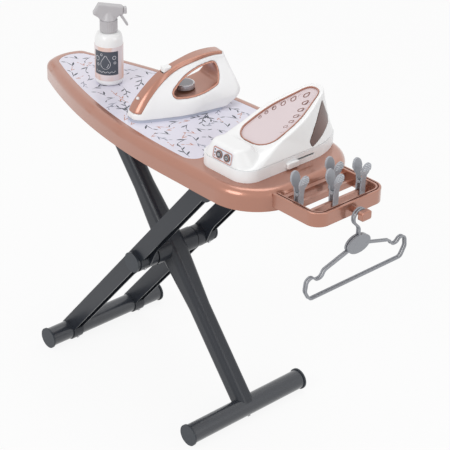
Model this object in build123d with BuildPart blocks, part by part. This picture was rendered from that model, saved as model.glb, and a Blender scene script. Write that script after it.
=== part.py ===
from build123d import *
import os
from math import atan2, cos, degrees, radians, sin, sqrt

# Toy ironing board with its steam station, iron, spray bottle, pegs and hangers.
# Millimetres. The origin is on the floor under the cross pivot, midway between the foot bars.
# X runs along the board, nose to -X and peg rack to +X. Y runs across it. Z is up.

os.makedirs("parts", exist_ok=True)

# Fits and gaps that every piece shares
run_fit = 0.08
seat_fit = 0.05
pass_gap = 0.3
overrun = 12.0

# Stand: two crossed legs, each on a round foot bar
stance = 375.0
foot_length = 250.0
pivot_height = 243.0
hinge_height = 440.0
tube_d = 33.0
tube_wall = 2.0
cap_d = 37.0
cap_t = 3.0
cap_plug = 12.0
bar_d = 14.0

# Board shell
hinge_drop = 54.5
nose_reach = 295.0
board_end = 313.0
board_half = 119.0
widest_x = 110.0
rear_corner = 80.0
skirt_height = 33.0
board_wall = 3.0
rim_round = 13.0
rim_width = 19.0
side_bow = 1008.0
nose_sag = 12.0
nose_corner = 24.0

# Printed panel and the seat of the station
panel_t = 1.4
panel_depth = 1.6
panel_gap = 0.2
panel_margin = 3.0
panel_corner = 22.0
seat_depth = 2.0

# Ribs, bosses and screws under the board
rib_t = 2.0
rib_depth = 14.0
rib_pitch = 84.0
rib_count = 7
rib_y = 34.0
boss_d = 9.0
screw_d = 3.0
screw_head_d = 6.0
screw_head_t = 2.2
screw_head_taper = 20.0
screw_length = 13.0

# Outer leg: two channel beams
beam_in = 60.0
beam_w = 20.0
beam_wall = 2.5
beam_low = 9.0
sleeve_reach = 16.0
gusset = 52.0
pivot_stand = 4.0
pivot_cap_d = 35.0
screw_spot = 0.6
beam_screw_length = 8.0

# Inner leg: a hollow post with a wide barrel on the pivot tube
post_w = 30.0
post_d = 32.5
post_round = 10.5
post_wall = 3.0
swell_w = 37.0
swell_d = 42.0
swell_end = 112.0
swell_start = 14.0
barrel_half = 42.0
barrel_r = 19.5
knuckle_half = 20.0
knuckle_r = 17.0
post_plug = 32.0
foot_screw_length = 42.0

# Brackets under the board
bracket_t = 3.0
bracket_l = 62.0
hinge_plate_w = 78.0
ear_t = 7.0
ear_r = 11.5
ear_foot = 34.0
latch_plate_w = 104.0
latch_in = 34.0
latch_w = 14.0
latch_l = 28.0
lip = 4.0
screw_dx = 22.0
hinge_screw_y = 32.0
latch_screw_y = 24.0

# Peg rack
rack_tuck = 28.0
rack_half = 72.0
rack_reach = 85.0
rack_drop = 3.5
rack_height = 22.0
rack_corner = 22.0
rack_rim = 9.0
rack_inner_t = 3.2
rack_groove = 2.4
rack_groove_depth = 5.0
rack_edge = 1.4
rack_root = 8.0
rack_bar_w = 5.0
rack_bar_h = 10.0
rack_bar_drop = 10.0
rack_notch_w = 11.0
rack_notch_depth = 2.0
rack_screw_length = 9.0
stalk_r = 4.5
stalk_y = 3.0
stalk_rise = 7.1
stalk_length = 16.5
knob_w = 20.0
knob_h = 14.0
knob_t = 9.0
knob_round = 3.5

# Pegs on the rack's two bars
front_bar_gap = 23.0
rear_bar_gap = 51.0
peg_front_shares = (-0.68, 0.30)
peg_rear_shares = (-0.08, 0.70)
peg_rise = 47.0
peg_pivot_rise = 13.0
peg_jaw_drop = 15.0
peg_spread = 11.5
peg_lever_t = 2.2
peg_pad_t = 1.4
peg_waist = 6.0
peg_tip_t = 2.4
jaw_gap = 0.1
paddle_w = 18.5
paddle_h = 25.0
pad_h = 15.0
neck_w = 9.6
jaw_w = 11.0
peg_pin_r = 1.3
peg_knuckle_r = 2.6
peg_knuckle_w = 1.4
peg_knuckle_gap = 0.2
peg_spring_w = 3.4

# Hangers
hanger_r = 1.7
hanger_pitch = 4.7
hanger_gap = 8.2
hanger_half = 103.0
hanger_drop = 57.5
hanger_bend = 8.0
hanger_shares = (
    (0.15, 0.07),
    (0.66, 0.33),
    (0.72, 0.50),
    (0.82, 0.50),
    (0.90, 0.36),
    (1.00, 0.44),
    (1.02, 0.72),
    (0.93, 1.00),
)
disc_drop = 44.4
disc_w = 47.0
disc_h = 29.0
disc_t = 3.0
hook_r = 12.5
hook_start = 225.0
hook_sweep = 200.0
hook_bend = 11.0

# Steam station: footprint, tray and shell
station_inset = 96.0
station_front = -94.0
station_rear = 119.0
station_half = 54.0
station_corner = 28.0
station_straight = 46.0
station_side_shares = ((0.86, 0.52), (0.60, 0.86))
base_height = 21.0
station_wall = 2.5
belt_gap = 0.2
station_screw_x = 30.0
station_screw_front = 32.0
station_screw_rear = 35.0
station_screw_length = 10.0

# Sole rest on the sloping top of the station
rest_set_back = 56.0
rest_low_rise = 35.5
rest_tip_gap = 20.0
rest_high_rise = 83.8
rest_half = 35.0
rest_corner = 28.0
rest_straight = 30.0
rest_side_shares = ((0.89, 0.46), (0.52, 0.83))
bezel = 8.5
bezel_lip = 2.4
rest_t = 2.4
trim_w = 1.6
trim_lip = 0.4
eyelet_w = 3.4
eyelet_l = 5.2
eyelet_depth = 0.7
eyelet_growth_share = 0.9
eyelet_turn = 90.0
eyelet_fan = 40.0
eyelet_far_shares = (
    (-0.80, 0.36), (-0.79, 0.45), (-0.74, 0.54), (-0.66, 0.63), (-0.52, 0.73), (-0.26, 0.84),
)
eyelet_near_shares = (
    (0.80, 0.30), (0.81, 0.39), (0.77, 0.48), (0.69, 0.58), (0.57, 0.68), (0.38, 0.78),
)

# Hood at the front of the station, with the control panel and two buttons
hood_half = 48.0
hood_depth = 60.0
hood_top_half = 31.0
hood_top_depth = 34.0
hood_height = 26.0
hood_lean = 4.7
hood_corner = 24.0
hood_top_corner = 15.0
hood_edge = 7.0
panel_w = 42.0
panel_h = 20.0
panel_plate_t = 1.5
panel_stand = 0.4
panel_r = 4.0
panel_rise = 11.0
panel_shift = 2.0
button_d = 12.4
button_pitch = 16.5
button_shift = 4.0
button_stand = 1.9
button_flange = 1.2
button_edge = 0.8

# Lock slider on the side of the tray, and the tank windows
slot_start = -12.0
slot_end = 46.0
slot_h = 3.4
tab_length = 24.0
tab_h = 10.0
tab_drop = 3.3
tab_out = 4.5
tab_round = 3.0
tab_edge = 1.5
slider_stem = 20.0
slider_foot = 2.0
slider_z_share = 0.58
window_gap = 0.1
window_shares = ((0.36, 0.03), (0.34, 0.16), (0.44, 0.36), (0.76, 0.85), (0.86, 0.42), (0.82, 0.30))

# Iron: its nose on the panel, its heading, then its own length and height
iron_x = -9.0
iron_y = -82.0
iron_yaw = 10.0
iron_length = 187.0
iron_height = 89.5
iron_half = 38.0
iron_corner = 15.0
sole_t = 4.0
sole_inset = 0.8
iron_section_shares = (
    (0.00, 0.000, 0.834, 1.00),
    (0.28, 0.045, 1.010, 0.95),
    (0.67, 0.210, 0.960, 0.52),
    (1.08, 0.400, 0.900, 0.26),
)
iron_straight_share = 0.75
iron_side_shares = ((0.90, 0.42), (0.60, 0.78))
iron_top_shares = (
    (0.008, 0.13),
    (0.10, 0.41),
    (0.24, 0.68),
    (0.36, 0.83),
    (0.545, 0.95),
    (0.70, 1.00),
    (0.885, 0.975),
)
iron_heel_share = 0.25
iron_cavity_top = 19.0
iron_cavity_tip = 12.0
iron_wall = 4.0
opening_front_share = (0.315, 0.365)
opening_floor_share = (0.575, 0.345)
opening_low_share = (0.775, 0.455)
opening_back_share = (0.812, 0.640)
opening_high_share = (0.790, 0.845)
opening_arch_share = (0.545, 0.755)
opening_round = 8.0
lining_t = 3.0
strip_t = 6.0
strip_low_share = 0.156
strip_end_share = 0.872
dial_share = 0.535
dial_d = 33.0
dial_h = 8.0
dial_gap = 1.9
dial_stem_r = 3.0
dial_stem = 9.0
dial_grips = 24
dial_grip_r = 1.2
iron_button_share = (0.355, 0.88)
iron_button_l = 15.0
iron_button_w = 12.0
iron_button_deep = 12.0
iron_button_travel = 2.5
iron_button_edge = 2.5
nozzle_share = (0.088, 0.380)
nozzle_r = 2.5
nozzle_reach = 3.0
nozzle_root = 4.0
nozzle_rise = 36.0

# Spray bottle
bottle_x = -146.0
bottle_y = -12.0
bottle_r = 23.5
bottle_foot = 7.0
bottle_wall = 1.5
label_low = 10.0
label_high = 68.0
label_t = 0.5
neck_r = 11.5
neck_low = 89.0
neck_high = 104.0
collar_r = 14.5
collar_low = 90.5
collar_high = 109.0
collar_ribs = 24
collar_rib_r = 0.7
head_yaw = 56.0
head_w = 14.0
head_reach = 26.0
head_height = 28.0
head_shares = (
    (-0.50, 0.00), (-0.65, 0.18), (-1.00, 0.40), (-0.62, 1.00), (0.80, 0.82),
    (0.92, 0.75), (0.92, 0.32), (0.65, 0.25), (0.38, 0.00),
)
head_round = 2.0
head_edge = 2.5
cone_low_r = 13.5
cone_high_r = 5.0
cone_rise = 19.0
spout_share = (0.92, 0.54)
spout_r = 3.0
spout_l = 4.0
cap_side = 11.0
cap_length = 5.0
cap_round = 3.0
spray_hole_r = 0.8
trigger_pin_share = (0.67, 0.375)
trigger_pin_r = 1.5
trigger_w = 8.0
trigger_slot = 9.0
trigger_bend_share = (0.90, 0.04)
trigger_tip_share = (1.14, -0.32)
trigger_t = 3.6
trigger_eye_r = 3.2
trigger_curve = 14.0
slot_reach = 5.0
slot_rise = 4.0
dip_r = 2.0
dip_wall = 0.6
dip_low = 5.0
dip_socket = 7.0

# Worked out from the sizes above
foot_height = cap_d / 2
foot_half = foot_length / 2 - cap_t
tube_r = tube_d / 2
bar_r = bar_d / 2
sleeve_r = cap_d / 2
lean = atan2(pivot_height - foot_height, stance / 2)
lower_leg = (pivot_height - foot_height) / sin(lean)
upper_leg = (hinge_height - pivot_height) / sin(lean)
hinge_x = upper_leg * cos(lean)
board_top = hinge_height + hinge_drop
station_x = board_end - station_inset
panel_end = station_x - station_half - panel_margin
beam_out = beam_in + beam_w
pivot_half = beam_out + pivot_stand
skirt_z = board_top - skirt_height
ceiling_z = board_top - panel_depth - board_wall
rib_z = ceiling_z - rib_depth
rest_z = board_top - panel_depth + panel_t
bracket_z = rib_z - bracket_t
ear_in = knuckle_half + pass_gap
ear_out = ear_in + ear_t
rack_front = board_end - rack_tuck
rack_end = board_end + rack_reach
rack_top = board_top - rack_drop
rack_bottom = rack_top - rack_height
rack_bar_top = rack_top - rack_bar_drop
rack_screw_z = rib_z - screw_head_d / 2 - pass_gap
rack_screw_y = board_half - rear_corner - screw_head_d
stalk_z = rack_bottom + stalk_rise
stalk_end = rack_end + stalk_length
peg_places = [(board_end + front_bar_gap, rack_half * share) for share in peg_front_shares]
peg_places += [(board_end + rear_bar_gap, rack_half * share) for share in peg_rear_shares]
peg_top = rack_bar_top + peg_rise
peg_pivot_z = rack_bar_top + peg_pivot_rise
peg_jaw_low = rack_bar_top - peg_jaw_drop
base_z = board_top - seat_depth
belt_z = base_z + base_height
rest_front = station_front + rest_set_back
rest_rear = station_rear - rest_tip_gap
rest_low_z = base_z + rest_low_rise
rest_high_z = base_z + rest_high_rise
panel_z = belt_z + panel_rise
rest_slope = atan2(rest_high_z - rest_low_z, rest_rear - rest_front)
rest_length = (rest_rear - rest_front) / cos(rest_slope)
hood_tilt = degrees(atan2(hood_lean, hood_height))
slider_z = base_z + base_height * slider_z_share
window_points = [
    (station_rear * a, belt_z + (rest_high_z - belt_z) * b) for a, b in window_shares
]
hook_z = stalk_z + stalk_r + pass_gap + hanger_r - hook_r
disc_z = hook_z - disc_drop
heading = radians(iron_yaw)
spray_way = radians(head_yaw)
dial_s = iron_length * dial_share
iron_button_s = iron_length * iron_button_share[0]
iron_button_top = iron_height * iron_button_share[1]
cone_high = collar_high + cone_rise


def save(piece, name):
    """Label a finished piece and write it as a STEP file of that name."""
    piece.part.label = name
    export_step(piece.part, f"parts/{name}.step")


def leg_a_plane(y):
    """Plane across the outer leg at y: x up the leg from the pivot, y towards its back."""
    return Plane(origin=(0, y, pivot_height), x_dir=(cos(lean), 0, sin(lean)), z_dir=(0, -1, 0))


def leg_b_plane(y):
    """Plane across the inner leg at y: x up the leg from the pivot."""
    return Plane(origin=(0, y, pivot_height), x_dir=(-cos(lean), 0, sin(lean)), z_dir=(0, 1, 0))


def leg_b_section(along):
    """Plane square to the inner leg, at a distance up the leg from the pivot."""
    return Plane(
        origin=(-along * cos(lean), 0, pivot_height + along * sin(lean)),
        x_dir=(0, 1, 0),
        z_dir=(-cos(lean), 0, sin(lean)),
    )


def across(x, z, y=0.0):
    """Plane square to Y, for round things whose axis runs across the board."""
    return Plane(origin=(x, y, z), x_dir=(1, 0, 0), z_dir=(0, -1, 0))


def board_outline(inset=0.0):
    """Outline of the board, filled, drawn in by inset all round."""
    nose, half, end, bow = (
        nose_reach - inset, board_half - inset, board_end - inset, side_bow - inset
    )
    shoulder_x = nose_sag - nose
    shoulder_y = half - bow + sqrt(bow**2 - (widest_x - shoulder_x) ** 2)
    with BuildSketch() as outline:
        with BuildLine():
            ThreePointArc((shoulder_x, -shoulder_y), (-nose, 0), (shoulder_x, shoulder_y))
            for way in (1, -1):
                RadiusArc((shoulder_x, shoulder_y * way), (widest_x, half * way), bow * way)
                Polyline((widest_x, half * way), (end, half * way), (end, 0))
        make_face()
        ends = outline.vertices().sort_by(Axis.X)
        fillet(ends[:2], radius=nose_corner - inset)
        rear = outline.vertices().group_by(Axis.X)[-1].sort_by(Axis.Y)
        fillet([rear[0], rear[-1]], radius=rear_corner - inset)
    return outline.sketch


def panel_outline(inset):
    """Outline of the printed panel, filled: the board's, cut off square before the station."""
    with BuildSketch() as outline:
        add(board_outline(rim_width + inset))
        with Locations((panel_end - inset, 0)):
            Rectangle(
                board_end * 2, board_half * 2, align=(Align.MIN, Align.CENTER), mode=Mode.SUBTRACT
            )
        rear = outline.vertices().group_by(Axis.X)[-1].sort_by(Axis.Y)
        fillet([rear[0], rear[-1]], radius=panel_corner - inset)
    return outline.sketch


def sole_outline(front, end, half, corner, straight, shares):
    """Outline of a sole, filled: square front with round corners, sides that meet at a tip.

    front and end are places along y, either way round. straight is how far the sides run
    straight before they close in. shares place the side's points between there and the tip.
    """
    way = 1 if end > front else -1
    bend_end = front + way * corner
    with BuildSketch() as outline:
        with BuildLine():
            flat = Line((0, front), (half - corner, front))
            bend = TangentArc(flat @ 1, (half, bend_end), tangent=(1, 0))
            start = bend @ 1
            if way * (straight - bend_end) > 0:
                run = Line(start, (half, straight))
                start = run @ 1
            rise = end - start.Y
            points = [(half * a, start.Y + rise * b) for a, b in shares]
            Spline(start, *points, (0, end), tangents=((0, way), (-1, 0)))
            mirror(about=Plane.YZ)
        make_face()
    return outline.sketch


def station_plane(z):
    """Level plane at z, centred on the station."""
    return Plane(origin=(station_x, 0, z))


def base_outline(inset=0.0):
    """The station's footprint, filled, drawn in by inset."""
    return sole_outline(
        station_front + inset, station_rear - inset, station_half - inset,
        station_corner - inset, station_straight, station_side_shares,
    )


def rest_outline(inset=0.0):
    """The sole rest's outline in its own plane, filled, drawn in by inset."""
    return sole_outline(
        inset, rest_length - inset, rest_half - inset, rest_corner - inset, rest_straight,
        rest_side_shares,
    )


def rest_plane(lift=0.0):
    """Plane of the sole rest, its origin at the rest's low front edge."""
    return Plane(
        origin=(station_x, rest_front - lift * sin(rest_slope), rest_low_z + lift * cos(rest_slope)),
        x_dir=(1, 0, 0),
        z_dir=(0, -sin(rest_slope), cos(rest_slope)),
    )


def tube(x, z, half, holes):
    """Open tube across the board, centred on the middle. holes are (plane, radius, depth)."""
    with BuildPart() as piece:
        with BuildSketch(across(x, z, half)):
            Circle(tube_r)
            Circle(tube_r - tube_wall, mode=Mode.SUBTRACT)
        extrude(amount=half * 2)
        for plane, radius, depth in holes:
            with BuildSketch(plane):
                Circle(radius)
            extrude(amount=depth, mode=Mode.SUBTRACT)
    return piece


def bar(x, z, half):
    """Solid round bar across the board, centred on the middle."""
    with BuildPart() as piece:
        with BuildSketch(across(x, z, half)):
            Circle(bar_r)
        extrude(amount=half * 2)
    return piece


def end_caps(x, z, half, flange_d):
    """Pair of flanged caps whose plugs fit the ends of a tube of that half length."""
    with BuildPart() as piece:
        with BuildSketch(across(x, z, -half)):
            Circle(flange_d / 2)
        extrude(amount=cap_t)
        with BuildSketch(across(x, z, -half)):
            Circle(tube_r - tube_wall - seat_fit)
        extrude(amount=-cap_plug)
        mirror(about=Plane.XZ)
    return piece


def screws(planes, length):
    """Pan head screws, each with its head under its plane and its shank along the normal."""
    with BuildPart() as piece:
        for plane in planes:
            with BuildSketch(plane):
                Circle(screw_head_d / 2)
            extrude(amount=-screw_head_t, taper=screw_head_taper)
            with BuildSketch(plane):
                Circle(screw_d / 2)
            extrude(amount=length)
    return piece


# Where the screws go: under the two brackets, the station, in the skirt's end and in the legs
bracket_screw_planes = [
    Plane(origin=(x + dx * screw_dx, dy * y, bracket_z))
    for x, y in ((-hinge_x, hinge_screw_y), (hinge_x, latch_screw_y))
    for dx in (-1, 1)
    for dy in (-1, 1)
]
station_screw_planes = [
    Plane(origin=(station_x + dx * station_screw_x, y, ceiling_z))
    for dx, y in (
        (-1, station_front + station_screw_front), (1, station_front + station_screw_front),
        (0, station_rear - station_screw_rear),
    )
]
rack_screw_planes = [
    Plane(origin=(board_end - board_wall, dy * rack_screw_y, rack_screw_z), z_dir=(1, 0, 0))
    for dy in (-1, 1)
]
beam_screw_planes = [
    Plane(
        origin=(
            along * cos(lean) + (sleeve_r - screw_spot) * sin(lean),
            dy * (beam_in + beam_w / 2),
            pivot_height + along * sin(lean) - (sleeve_r - screw_spot) * cos(lean),
        ),
        z_dir=(-sin(lean), 0, cos(lean)),
    )
    for along in (-lower_leg, 0)
    for dy in (-1, 1)
]
foot_screw_plane = leg_b_section(-lower_leg - tube_r + screw_spot)

# Board shell: skirt, rounded rim, recess for the panel, seat for the station
with BuildPart() as hollow:
    with BuildSketch(Plane.XY.offset(skirt_z)):
        add(board_outline(board_wall))
    extrude(amount=ceiling_z - skirt_z)
    fillet(hollow.faces().sort_by(Axis.Z)[-1].edges(), radius=rim_round - board_wall)

with BuildPart() as board_shell:
    with BuildSketch(Plane.XY.offset(skirt_z)):
        add(board_outline())
    extrude(amount=skirt_height)
    fillet(board_shell.faces().sort_by(Axis.Z)[-1].edges(), radius=rim_round)
    add(hollow.part, mode=Mode.SUBTRACT)
    with BuildSketch(Plane.XY.offset(board_top)):
        add(panel_outline(0))
    extrude(amount=-panel_depth, mode=Mode.SUBTRACT)
    with BuildSketch(station_plane(board_top)):
        add(base_outline(-seat_fit))
    extrude(amount=-seat_depth, mode=Mode.SUBTRACT)
    with BuildSketch(Plane.XY.offset(rib_z)):
        with GridLocations(0, rib_y * 2, 1, 2):
            Rectangle(nose_reach * 2 + board_end, rib_t)
        with GridLocations(rib_pitch, 0, rib_count, 1):
            Rectangle(rib_t, board_half * 2)
        add(board_outline(board_wall - seat_fit), mode=Mode.INTERSECT)
    extrude(amount=rib_depth + seat_fit)
    for plane in bracket_screw_planes:
        with BuildSketch(plane.offset(bracket_t)):
            Circle(boss_d / 2)
        extrude(amount=rib_depth + seat_fit)
        with BuildSketch(plane):
            Circle(screw_d / 2 + seat_fit)
        extrude(amount=screw_length + pass_gap, mode=Mode.SUBTRACT)
    for plane in station_screw_planes + rack_screw_planes:
        with BuildSketch(plane):
            Circle(screw_d / 2 + pass_gap)
        extrude(amount=board_wall + overrun, mode=Mode.SUBTRACT)
save(board_shell, "board_shell")

with BuildPart() as print_panel:
    with BuildSketch(Plane.XY.offset(rest_z - panel_t)):
        add(panel_outline(panel_gap))
    extrude(amount=panel_t)
save(print_panel, "print_panel")

save(screws(bracket_screw_planes, screw_length), "bracket_screws")
save(screws(rack_screw_planes, rack_screw_length), "rack_screws")
save(screws(station_screw_planes, station_screw_length), "station_screws")

# Brackets under the board: the inner leg's hinge and the outer leg's latch
with BuildPart() as hinge_bracket:
    with BuildSketch(Plane(origin=(-hinge_x, 0, bracket_z))):
        RectangleRounded(bracket_l, hinge_plate_w, boss_d / 2)
        with GridLocations(screw_dx * 2, hinge_screw_y * 2, 2, 2):
            Circle(screw_d / 2 + pass_gap, mode=Mode.SUBTRACT)
    extrude(amount=bracket_t)
    ear_top = bracket_z - hinge_height
    for y in (-ear_in, ear_out):
        with BuildSketch(across(-hinge_x, hinge_height, y)):
            Circle(ear_r)
            with BuildLine():
                Polyline(
                    (-ear_r, 0), (-ear_foot / 2, ear_top), (ear_foot / 2, ear_top), (ear_r, 0),
                    close=True,
                )
            make_face()
            Circle(bar_r + seat_fit, mode=Mode.SUBTRACT)
        extrude(amount=ear_t)
save(hinge_bracket, "hinge_bracket")
save(bar(-hinge_x, hinge_height, ear_out), "hinge_bar")

with BuildPart() as latch_bracket:
    with BuildSketch(Plane(origin=(hinge_x, 0, bracket_z))):
        RectangleRounded(bracket_l, latch_plate_w, boss_d / 2)
        with GridLocations(screw_dx * 2, latch_screw_y * 2, 2, 2):
            Circle(screw_d / 2 + pass_gap, mode=Mode.SUBTRACT)
    extrude(amount=bracket_t)
    slot_r = bar_r + run_fit
    for y in (-latch_in, latch_in + latch_w):
        with BuildSketch(across(hinge_x, hinge_height, y)):
            with Locations((-bar_r - lip, -bar_r - lip)):
                Rectangle(
                    latch_l, bracket_z - hinge_height + bar_r + lip, align=(Align.MIN, Align.MIN)
                )
            Circle(slot_r, mode=Mode.SUBTRACT)
            with Locations((0, -slot_r)):
                Rectangle(
                    latch_l, slot_r * 2, align=(Align.MIN, Align.MIN), mode=Mode.SUBTRACT
                )
        extrude(amount=latch_w)
save(latch_bracket, "latch_bracket")

# Outer leg: two channel beams on a foot tube, a pivot tube and a top bar
with BuildPart() as outer_leg_front:
    with BuildSketch(leg_a_plane(-beam_in)):
        with Locations((-lower_leg, -beam_low)):
            Rectangle(
                lower_leg + upper_leg, sleeve_r + beam_low, align=(Align.MIN, Align.MIN)
            )
        with Locations((-lower_leg, 0), (0, 0), (upper_leg, 0)):
            Circle(sleeve_r)
    extrude(amount=beam_w)
    # The channel between its sleeves, open underneath
    with BuildSketch(leg_a_plane(-beam_in - beam_wall)):
        for low, high in ((-lower_leg, 0), (0, upper_leg)):
            with Locations((low + sleeve_r, -sleeve_r)):
                Rectangle(
                    high - low - sleeve_r * 2,
                    sleeve_r * 2 - beam_wall,
                    align=(Align.MIN, Align.MIN),
                )
    extrude(amount=beam_w - beam_wall * 2, mode=Mode.SUBTRACT)
    # The inner wall swells round the pivot
    with BuildSketch(leg_a_plane(-beam_in)):
        with BuildLine():
            Spline(
                (-gusset, -beam_low), (0, -sleeve_r), (gusset, -beam_low),
                tangents=((1, 0), (1, 0)),
            )
            Line((gusset, -beam_low), (-gusset, -beam_low))
        make_face()
    extrude(amount=beam_wall)
    with BuildSketch(leg_a_plane(-beam_in + sleeve_reach)):
        Circle(sleeve_r)
    extrude(amount=sleeve_reach)
    with BuildSketch(leg_a_plane(-beam_in + sleeve_reach)):
        with Locations((-lower_leg, 0), (0, 0)):
            Circle(tube_r + seat_fit)
        with Locations((upper_leg, 0)):
            Circle(bar_r + seat_fit)
    extrude(amount=beam_w + sleeve_reach, mode=Mode.SUBTRACT)
    for plane in beam_screw_planes:
        with BuildSketch(plane):
            Circle(screw_head_d / 2 + pass_gap)
        extrude(amount=-screw_head_t - overrun, mode=Mode.SUBTRACT)
        with BuildSketch(plane):
            Circle(screw_d / 2 + pass_gap)
        extrude(amount=sleeve_r - tube_r, mode=Mode.SUBTRACT)
save(outer_leg_front, "outer_leg_front")

with BuildPart() as outer_leg_back:
    mirror(outer_leg_front.part, about=Plane.XZ)
save(outer_leg_back, "outer_leg_back")


near_wall = sleeve_r - tube_r + tube_wall * 2
beam_holes = [(plane, screw_d / 2 + seat_fit, near_wall) for plane in beam_screw_planes]
save(tube(-stance / 2, foot_height, foot_half, beam_holes[:2]), "outer_foot_tube")
save(end_caps(-stance / 2, foot_height, foot_half, cap_d), "outer_foot_caps")
save(tube(0, pivot_height, pivot_half, beam_holes[2:]), "pivot_tube")
save(end_caps(0, pivot_height, pivot_half, pivot_cap_d), "pivot_caps")
save(bar(hinge_x, hinge_height, beam_out), "top_bar")
save(screws(beam_screw_planes, beam_screw_length), "beam_screws")

# Inner leg: a hollow post with a wide barrel that turns on the pivot tube
with BuildPart() as inner_leg_post:
    for start, way, length in (
        (-swell_end, -1, lower_leg - swell_end), (swell_end, 1, upper_leg - swell_end)
    ):
        with BuildSketch(leg_b_section(start)):
            RectangleRounded(post_w, post_d, post_round)
        extrude(amount=way * length)
    for way in (-1, 1):
        with BuildSketch(leg_b_section(way * swell_start)):
            RectangleRounded(swell_w, swell_d, post_round)
        with BuildSketch(leg_b_section(way * swell_end)):
            RectangleRounded(post_w, post_d, post_round)
        loft(ruled=True)
    with BuildSketch(leg_b_section(-swell_start)):
        RectangleRounded(swell_w, swell_d, post_round)
    extrude(amount=swell_start * 2)
    with BuildSketch(leg_b_plane(-barrel_half)):
        Circle(barrel_r)
    extrude(amount=barrel_half * 2)
    with BuildSketch(leg_b_plane(-knuckle_half)):
        with Locations((upper_leg, 0)):
            Circle(knuckle_r)
    extrude(amount=knuckle_half * 2)
    for low, high in (
        (post_plug - lower_leg, -barrel_r - post_wall),
        (barrel_r + post_wall, upper_leg - knuckle_r),
    ):
        with BuildSketch(leg_b_section(low)):
            RectangleRounded(
                post_w - post_wall * 2, post_d - post_wall * 2, post_round - post_wall
            )
        extrude(amount=high - low, mode=Mode.SUBTRACT)
    with BuildSketch(leg_b_plane(-barrel_half)):
        Circle(tube_r + run_fit)
        with Locations((upper_leg, 0)):
            Circle(bar_r + run_fit)
        with Locations((-lower_leg, 0)):
            Circle(tube_r + seat_fit)
    extrude(amount=barrel_half * 2, mode=Mode.SUBTRACT)
    with BuildSketch(foot_screw_plane):
        Circle(screw_d / 2 + seat_fit)
    extrude(amount=foot_screw_length + pass_gap, mode=Mode.SUBTRACT)
save(inner_leg_post, "inner_leg_post")

foot_holes = [
    (foot_screw_plane, screw_head_d / 2 + pass_gap, -screw_head_t),
    (foot_screw_plane, screw_d / 2 + pass_gap, tube_d),
]
save(tube(stance / 2, foot_height, foot_half, foot_holes), "inner_foot_tube")
save(end_caps(stance / 2, foot_height, foot_half, cap_d), "inner_foot_caps")
save(screws([foot_screw_plane], foot_screw_length), "foot_screw")


# Peg rack on the wide end: double rim, two crossbars, knob for the hangers
def rack_outline(inset):
    """Outline of the rack, filled, drawn in by inset on its three free sides."""
    with BuildSketch() as outline:
        with Locations((rack_front, 0)):
            Rectangle(
                rack_end - inset - rack_front, (rack_half - inset) * 2,
                align=(Align.MIN, Align.CENTER),
            )
        fillet(outline.vertices().group_by(Axis.X)[-1], radius=rack_corner - inset)
    return outline.sketch


rack_inner_half = rack_half - rack_rim + seat_fit

with BuildPart() as peg_rack:
    with BuildSketch(Plane.XY.offset(rack_bottom)):
        add(rack_outline(0))
        add(rack_outline(rack_rim), mode=Mode.SUBTRACT)
    extrude(amount=rack_height)
    fillet(peg_rack.faces().sort_by(Axis.Z)[-1].outer_wire().edges(), radius=rack_edge)
    with BuildSketch(Plane.XY.offset(rack_top)):
        add(rack_outline(rack_rim - rack_inner_t - rack_groove))
        add(rack_outline(rack_rim - rack_inner_t), mode=Mode.SUBTRACT)
    extrude(amount=-rack_groove_depth, mode=Mode.SUBTRACT)
    with BuildSketch(Plane.XY.offset(rack_bottom)):
        with Locations((rack_front, 0)):
            Rectangle(
                board_end + rack_root - rack_front, rack_inner_half * 2,
                align=(Align.MIN, Align.CENTER),
            )
    extrude(amount=rack_height - rack_groove_depth)
    with BuildSketch(Plane.XY.offset(rack_bar_top - rack_bar_h)):
        with Locations((board_end + front_bar_gap, 0), (board_end + rear_bar_gap, 0)):
            Rectangle(rack_bar_w, rack_inner_half * 2)
    extrude(amount=rack_bar_h)
    with BuildSketch(Plane.XY.offset(rack_bar_top)):
        with Locations(*peg_places):
            Rectangle(rack_bar_w + pass_gap, rack_notch_w)
    extrude(amount=-rack_notch_depth, mode=Mode.SUBTRACT)
    with BuildSketch(Plane.YZ.offset(rack_end - rack_edge)):
        with Locations((stalk_y, stalk_z)):
            Circle(stalk_r)
    extrude(amount=stalk_end - rack_end + rack_edge)
    with BuildSketch(Plane.YZ.offset(stalk_end)):
        with Locations((stalk_y, stalk_z)):
            RectangleRounded(knob_w, knob_h, knob_round)
    extrude(amount=knob_t)
    fillet(peg_rack.faces().sort_by(Axis.X)[-1].edges(), radius=knob_round / 2)
    with BuildSketch(Plane.XY.offset(rack_bottom - overrun)):
        add(board_outline(-seat_fit))
    extrude(amount=rack_height + overrun * 2, mode=Mode.SUBTRACT)
    for plane in rack_screw_planes:
        with BuildSketch(plane):
            Circle(screw_d / 2 + seat_fit)
        extrude(amount=rack_screw_length + pass_gap, mode=Mode.SUBTRACT)
save(peg_rack, "peg_rack")


# Pegs: two levers on a pin, jaws astride a bar of the rack
def peg_front_view():
    """What a peg lever shows from the front: oval paddle, narrow neck, jaw; filled."""
    with BuildSketch() as view:
        with Locations((0, peg_top - paddle_h / 2)):
            Ellipse(paddle_w / 2, paddle_h / 2)
        with BuildLine():
            Polyline(
                (-jaw_w / 2, peg_jaw_low), (jaw_w / 2, peg_jaw_low),
                (neck_w / 2, peg_pivot_z), (neck_w / 2, peg_top - paddle_h / 2),
                (-neck_w / 2, peg_top - paddle_h / 2), (-neck_w / 2, peg_pivot_z), close=True,
            )
        make_face()
    return view.sketch


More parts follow.
